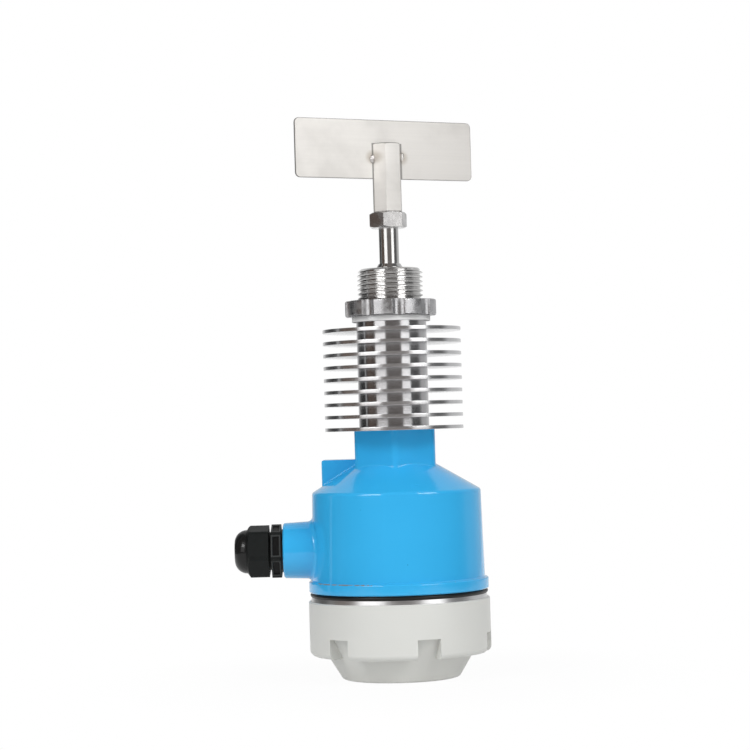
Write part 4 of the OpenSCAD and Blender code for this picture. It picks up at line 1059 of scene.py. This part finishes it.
def cut_process_thread():
    """Spigot with its rounded pipe thread, cut right-handed round the drive axis."""
    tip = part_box("process_spigot")[1].z / MM
    length = tip - THREAD_FOOT
    start_alone()
    bpy.ops.mesh.primitive_cylinder_add(vertices=112, radius=THREAD_CREST * MM, depth=length * MM,
                                        location=(0, 0, (THREAD_FOOT + tip) / 2 * MM))
    piece = bpy.context.active_object
    bpy.ops.object.transform_apply(location=True, rotation=True, scale=True)
    open_mesh(piece)
    pick(piece, "EDGE", lambda edge: abs(edge.verts[0].co.z - edge.verts[1].co.z) > MM)
    bpy.ops.mesh.subdivide(number_cuts=190)
    shape = bmesh.from_edit_mesh(piece.data)
    for vert in shape.verts:
        angle = math.atan2(vert.co.y, vert.co.x)
        vert.co.xy = heading(angle) * thread_radius(vert.co.z / MM, angle, tip) * MM
    top = (tip - 0.01) * MM
    pick(piece, "FACE", lambda face: face.normal.z > 0.99 and face.calc_center_median().z > top)
    bpy.ops.mesh.inset(thickness=SPIGOT_WALL * MM, depth=0)
    bpy.ops.mesh.extrude_region_move(TRANSFORM_OT_translate={"value": (0, 0, -SPIGOT_HOLLOW * MM)})
    close_mesh()
    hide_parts("process_spigot")
    settle(piece, "process_thread", "bright_steel", "housing", 60.0)


# Weld beads


def weld_bead(place, seed):
    """One tack weld: three overlapping ripples, worked out of a sphere."""
    start_alone()
    bpy.ops.mesh.primitive_uv_sphere_add(segments=28, ring_count=20, radius=1.0)
    piece = bpy.context.active_object
    for vert in piece.data.vertices:
        ripple = 0.10 * math.cos(vert.co.z * 8.5 + seed)
        lump = 0.16 * noise.noise(vert.co * 1.7 + Vector((seed, 2 * seed, 0)))
        vert.co *= 1 + ripple + lump
        vert.co = Vector((vert.co.x * 1.35, vert.co.y * 1.15, vert.co.z * 2.1)) * MM
    turn = Matrix.Rotation(PADDLE_TURN, 4, "Z")
    piece.data.transform(turn @ Matrix.Translation(Vector(place) * MM))
    return piece


def lay_welds():
    """Four tacks where the blade leaves the stem's corners."""
    tacks = ((-1, -1, 262.4, 1.0), (1, -1, 264.0, 2.3), (-1, 1, 263.5, 3.9), (1, 1, 261.8, 5.1))
    beads = []
    for side, face, z, seed in tacks:
        beads.append(weld_bead((side * (STEM_CORNER + 0.25), face * 0.75, z), seed))
    piece = join(beads)
    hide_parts("weld_beads")
    settle(piece, "weld_tacks", "weld_metal", "paddle", 60.0)


# Return spring


def spring_points():
    """The two posts' places and the wire's path from hook to hook, in millimetres."""
    ends = [(heading(angle) * SPRING_CIRCLE).to_3d() + Vector((0, 0, SPRING_Z)) for angle in SPRING_ENDS]
    along = (ends[1] - ends[0]).normalized()
    side = Vector((-along.y, along.x, 0))
    up = Vector((0, 0, 1))
    span = (ends[1] - ends[0]).length
    lead, turns, coil, hook = 3.4, 14, 1.9, 1.3

    def hook_points(end, first, sweep):
        """A hook bent round a post."""
        bends = [math.radians(first + sweep * i / 14) for i in range(15)]
        return [end + along * (hook * math.cos(bend)) + side * (hook * math.sin(bend)) for bend in bends]

    points = hook_points(ends[0], 20, 300)
    steps = turns * 16
    for i in range(steps + 1):
        share = i / steps
        angle = 2 * math.pi * turns * share
        width = coil * min(1.0, 2 * turns * share, 2 * turns * (1 - share))
        points.append(ends[0] + along * (lead + (span - 2 * lead) * share)
                      + side * (width * math.sin(angle)) + up * (width * math.cos(angle)))
    return ends, points + hook_points(ends[1], 220, -300)


def wind_spring():
    """Extension spring wound from wire, with a hook round each post."""
    ends, points = spring_points()
    wire = bpy.data.curves.new("return_coil", "CURVE")
    wire.dimensions = "3D"
    wire.bevel_depth = 0.35 * MM
    wire.bevel_resolution = 2
    wire.use_fill_caps = True
    spline = wire.splines.new("POLY")
    spline.points.add(len(points) - 1)
    for knot, point in zip(spline.points, points):
        knot.co = (*(point * MM), 1)
    take_alone(place_in_scene("return_coil", wire))
    bpy.ops.object.convert(target="MESH")
    piece = bpy.context.active_object
    open_mesh(piece)
    bpy.ops.mesh.remove_doubles(threshold=0.001 * MM)
    bpy.ops.mesh.normals_make_consistent(inside=False)
    close_mesh()
    settle(piece, "return_coil", "spring_steel", None, 60.0)
    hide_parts("return_spring")
    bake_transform(piece)


# Studio


def mix_shaders(tree, factor, first, second):
    """Mixes two shaders."""
    made = tree.nodes.new("ShaderNodeMixShader")
    feed(tree, made.inputs[0], factor)
    tree.links.new(first.outputs[0], made.inputs[1])
    tree.links.new(second.outputs[0], made.inputs[2])
    return made


def lay_floor():
    """Pale table that stays white to the camera and keeps a soft shadow."""
    start_alone()
    bpy.ops.mesh.primitive_plane_add(size=1.0, location=(0, (TABLE_BACK - TABLE_FRONT) / 2, -0.0003))
    floor = bpy.context.active_object
    floor.scale = (2 * TABLE_SIDE, TABLE_BACK + TABLE_FRONT, 1)
    bpy.ops.object.transform_apply(location=True, rotation=True, scale=True)
    floor.name = "studio_floor"
    material = bpy.data.materials.new("floor_white")
    tree, surface = empty_tree(material, "ShaderNodeOutputMaterial")
    card = tree.nodes.new("ShaderNodeBsdfDiffuse")
    card.inputs["Color"].default_value = (0.88, 0.88, 0.88, 1)
    glow = tree.nodes.new("ShaderNodeEmission")
    path = tree.nodes.new("ShaderNodeLightPath")
    seen = calc(tree, "ADD", path.outputs["Is Camera Ray"], path.outputs["Is Glossy Ray"])
    seen = calc(tree, "ADD", seen, path.outputs["Is Transmission Ray"], clamp=True)
    distance = split_place(tree)[3]
    white_share = spread(tree, ramp_step(tree, distance, 0.05, 0.18), 0.955, 1.0)
    mixed = mix_shaders(tree, calc(tree, "MULTIPLY", seen, white_share), card, glow)
    tree.links.new(mixed.outputs[0], surface)
    floor.data.materials.append(material)


def build_room():
    """White behind the switch and to its right, a dim room in front and to its left, and a pale ground."""
    world = bpy.data.worlds.new("studio_room")
    scene.world = world
    tree, surface = empty_tree(world, "ShaderNodeOutputWorld")
    x, y, z = split_vector(tree, tree.nodes.new("ShaderNodeTexCoord").outputs["Generated"])
    angle = calc(tree, "ARCTAN2", x, calc(tree, "MULTIPLY", y, -1.0))
    walls = tree.nodes.new("ShaderNodeValToRGB")
    stops = walls.color_ramp.elements
    for level in ROOM_LEVELS[1:-1]:
        stops.new(level[0])
    for stop, (share, level, warmth) in zip(stops, ROOM_LEVELS):
        stop.position = share
        stop.color = (level * (1 + warmth), level, level * (1 - warmth / 2), 1)
    feed(tree, walls.inputs[0], calc(tree, "MULTIPLY_ADD", angle, 0.5 / math.pi, 0.5))
    ground = ramp_step(tree, calc(tree, "MULTIPLY", z, -1.0), 0.085, 0.17)
    room, ambient, backdrop = [tree.nodes.new("ShaderNodeBackground") for _ in range(3)]
    feed(tree, room.inputs["Color"], tint(tree, ground, walls.outputs[0], (0.85, 0.85, 0.85, 1)))
    ambient.inputs["Color"].default_value = (1, 1, 1, 1)
    sky = calc(tree, "MULTIPLY_ADD", calc(tree, "MAXIMUM", z, 0.0), 0.30, 0.06)
    feed(tree, ambient.inputs["Strength"], calc(tree, "MULTIPLY_ADD", calc(tree, "ABSOLUTE", y), 0.36, sky))
    backdrop.inputs["Color"].default_value = (1, 1, 1, 1)
    path = tree.nodes.new("ShaderNodeLightPath").outputs
    mirrored = mix_shaders(tree, path["Is Glossy Ray"], ambient, room)
    straight = calc(tree, "ADD", path["Is Camera Ray"], path["Is Transmission Ray"], clamp=True)
    shown = mix_shaders(tree, straight, mirrored, backdrop)
    tree.links.new(shown.outputs[0], surface)


def hang_softbox(name, azimuth, distance, height, size, power):
    """An upright panel lamp facing the switch; azimuth is from the camera's side, positive to the right."""
    lamp = bpy.data.lights.new(name, "AREA")
    lamp.shape = "RECTANGLE"
    lamp.size, lamp.size_y = size
    lamp.energy = power
    box = place_in_scene(name, lamp)
    angle = math.radians(azimuth)
    box.location = (distance * math.sin(angle), -distance * math.cos(angle), height)
    aim = Vector((-box.location.x, -box.location.y, 0))
    box.rotation_euler = aim.to_track_quat("-Z", "Y").to_euler()


def set_camera():
    """Camera at the photograph's place: low, straight in front, rolled a little."""
    eye = Vector((0, -1.16, 0.128))
    aim = Vector((-0.0090, 0, 0.153))
    roll = math.radians(1.70)
    ahead = (aim - eye).normalized()
    right = ahead.cross(Vector((0, 0, 1))).normalized()
    up = right.cross(ahead)
    rolled_up = up * math.cos(roll) + right * math.sin(roll)
    rolled_right = right * math.cos(roll) - up * math.sin(roll)
    turn = Matrix((rolled_right, rolled_up, -ahead)).transposed()
    lens = bpy.data.cameras.new("photo_camera")
    lens.sensor_width = 36
    lens.lens = 109.8
    lens.clip_start = 0.01
    camera = place_in_scene("photo_camera", lens)
    camera.matrix_world = Matrix.Translation(eye) @ turn.to_4x4()
    scene.camera = camera


paint_nodes()
ease_bright_pieces()
ease_cover()
turn_fins()
fill_housing_corners()
cut_cover_thread()
cut_process_thread()
lay_welds()
wind_spring()
lay_floor()
build_room()
for lamp_values in LAMPS:
    hang_softbox(*lamp_values)
set_camera()
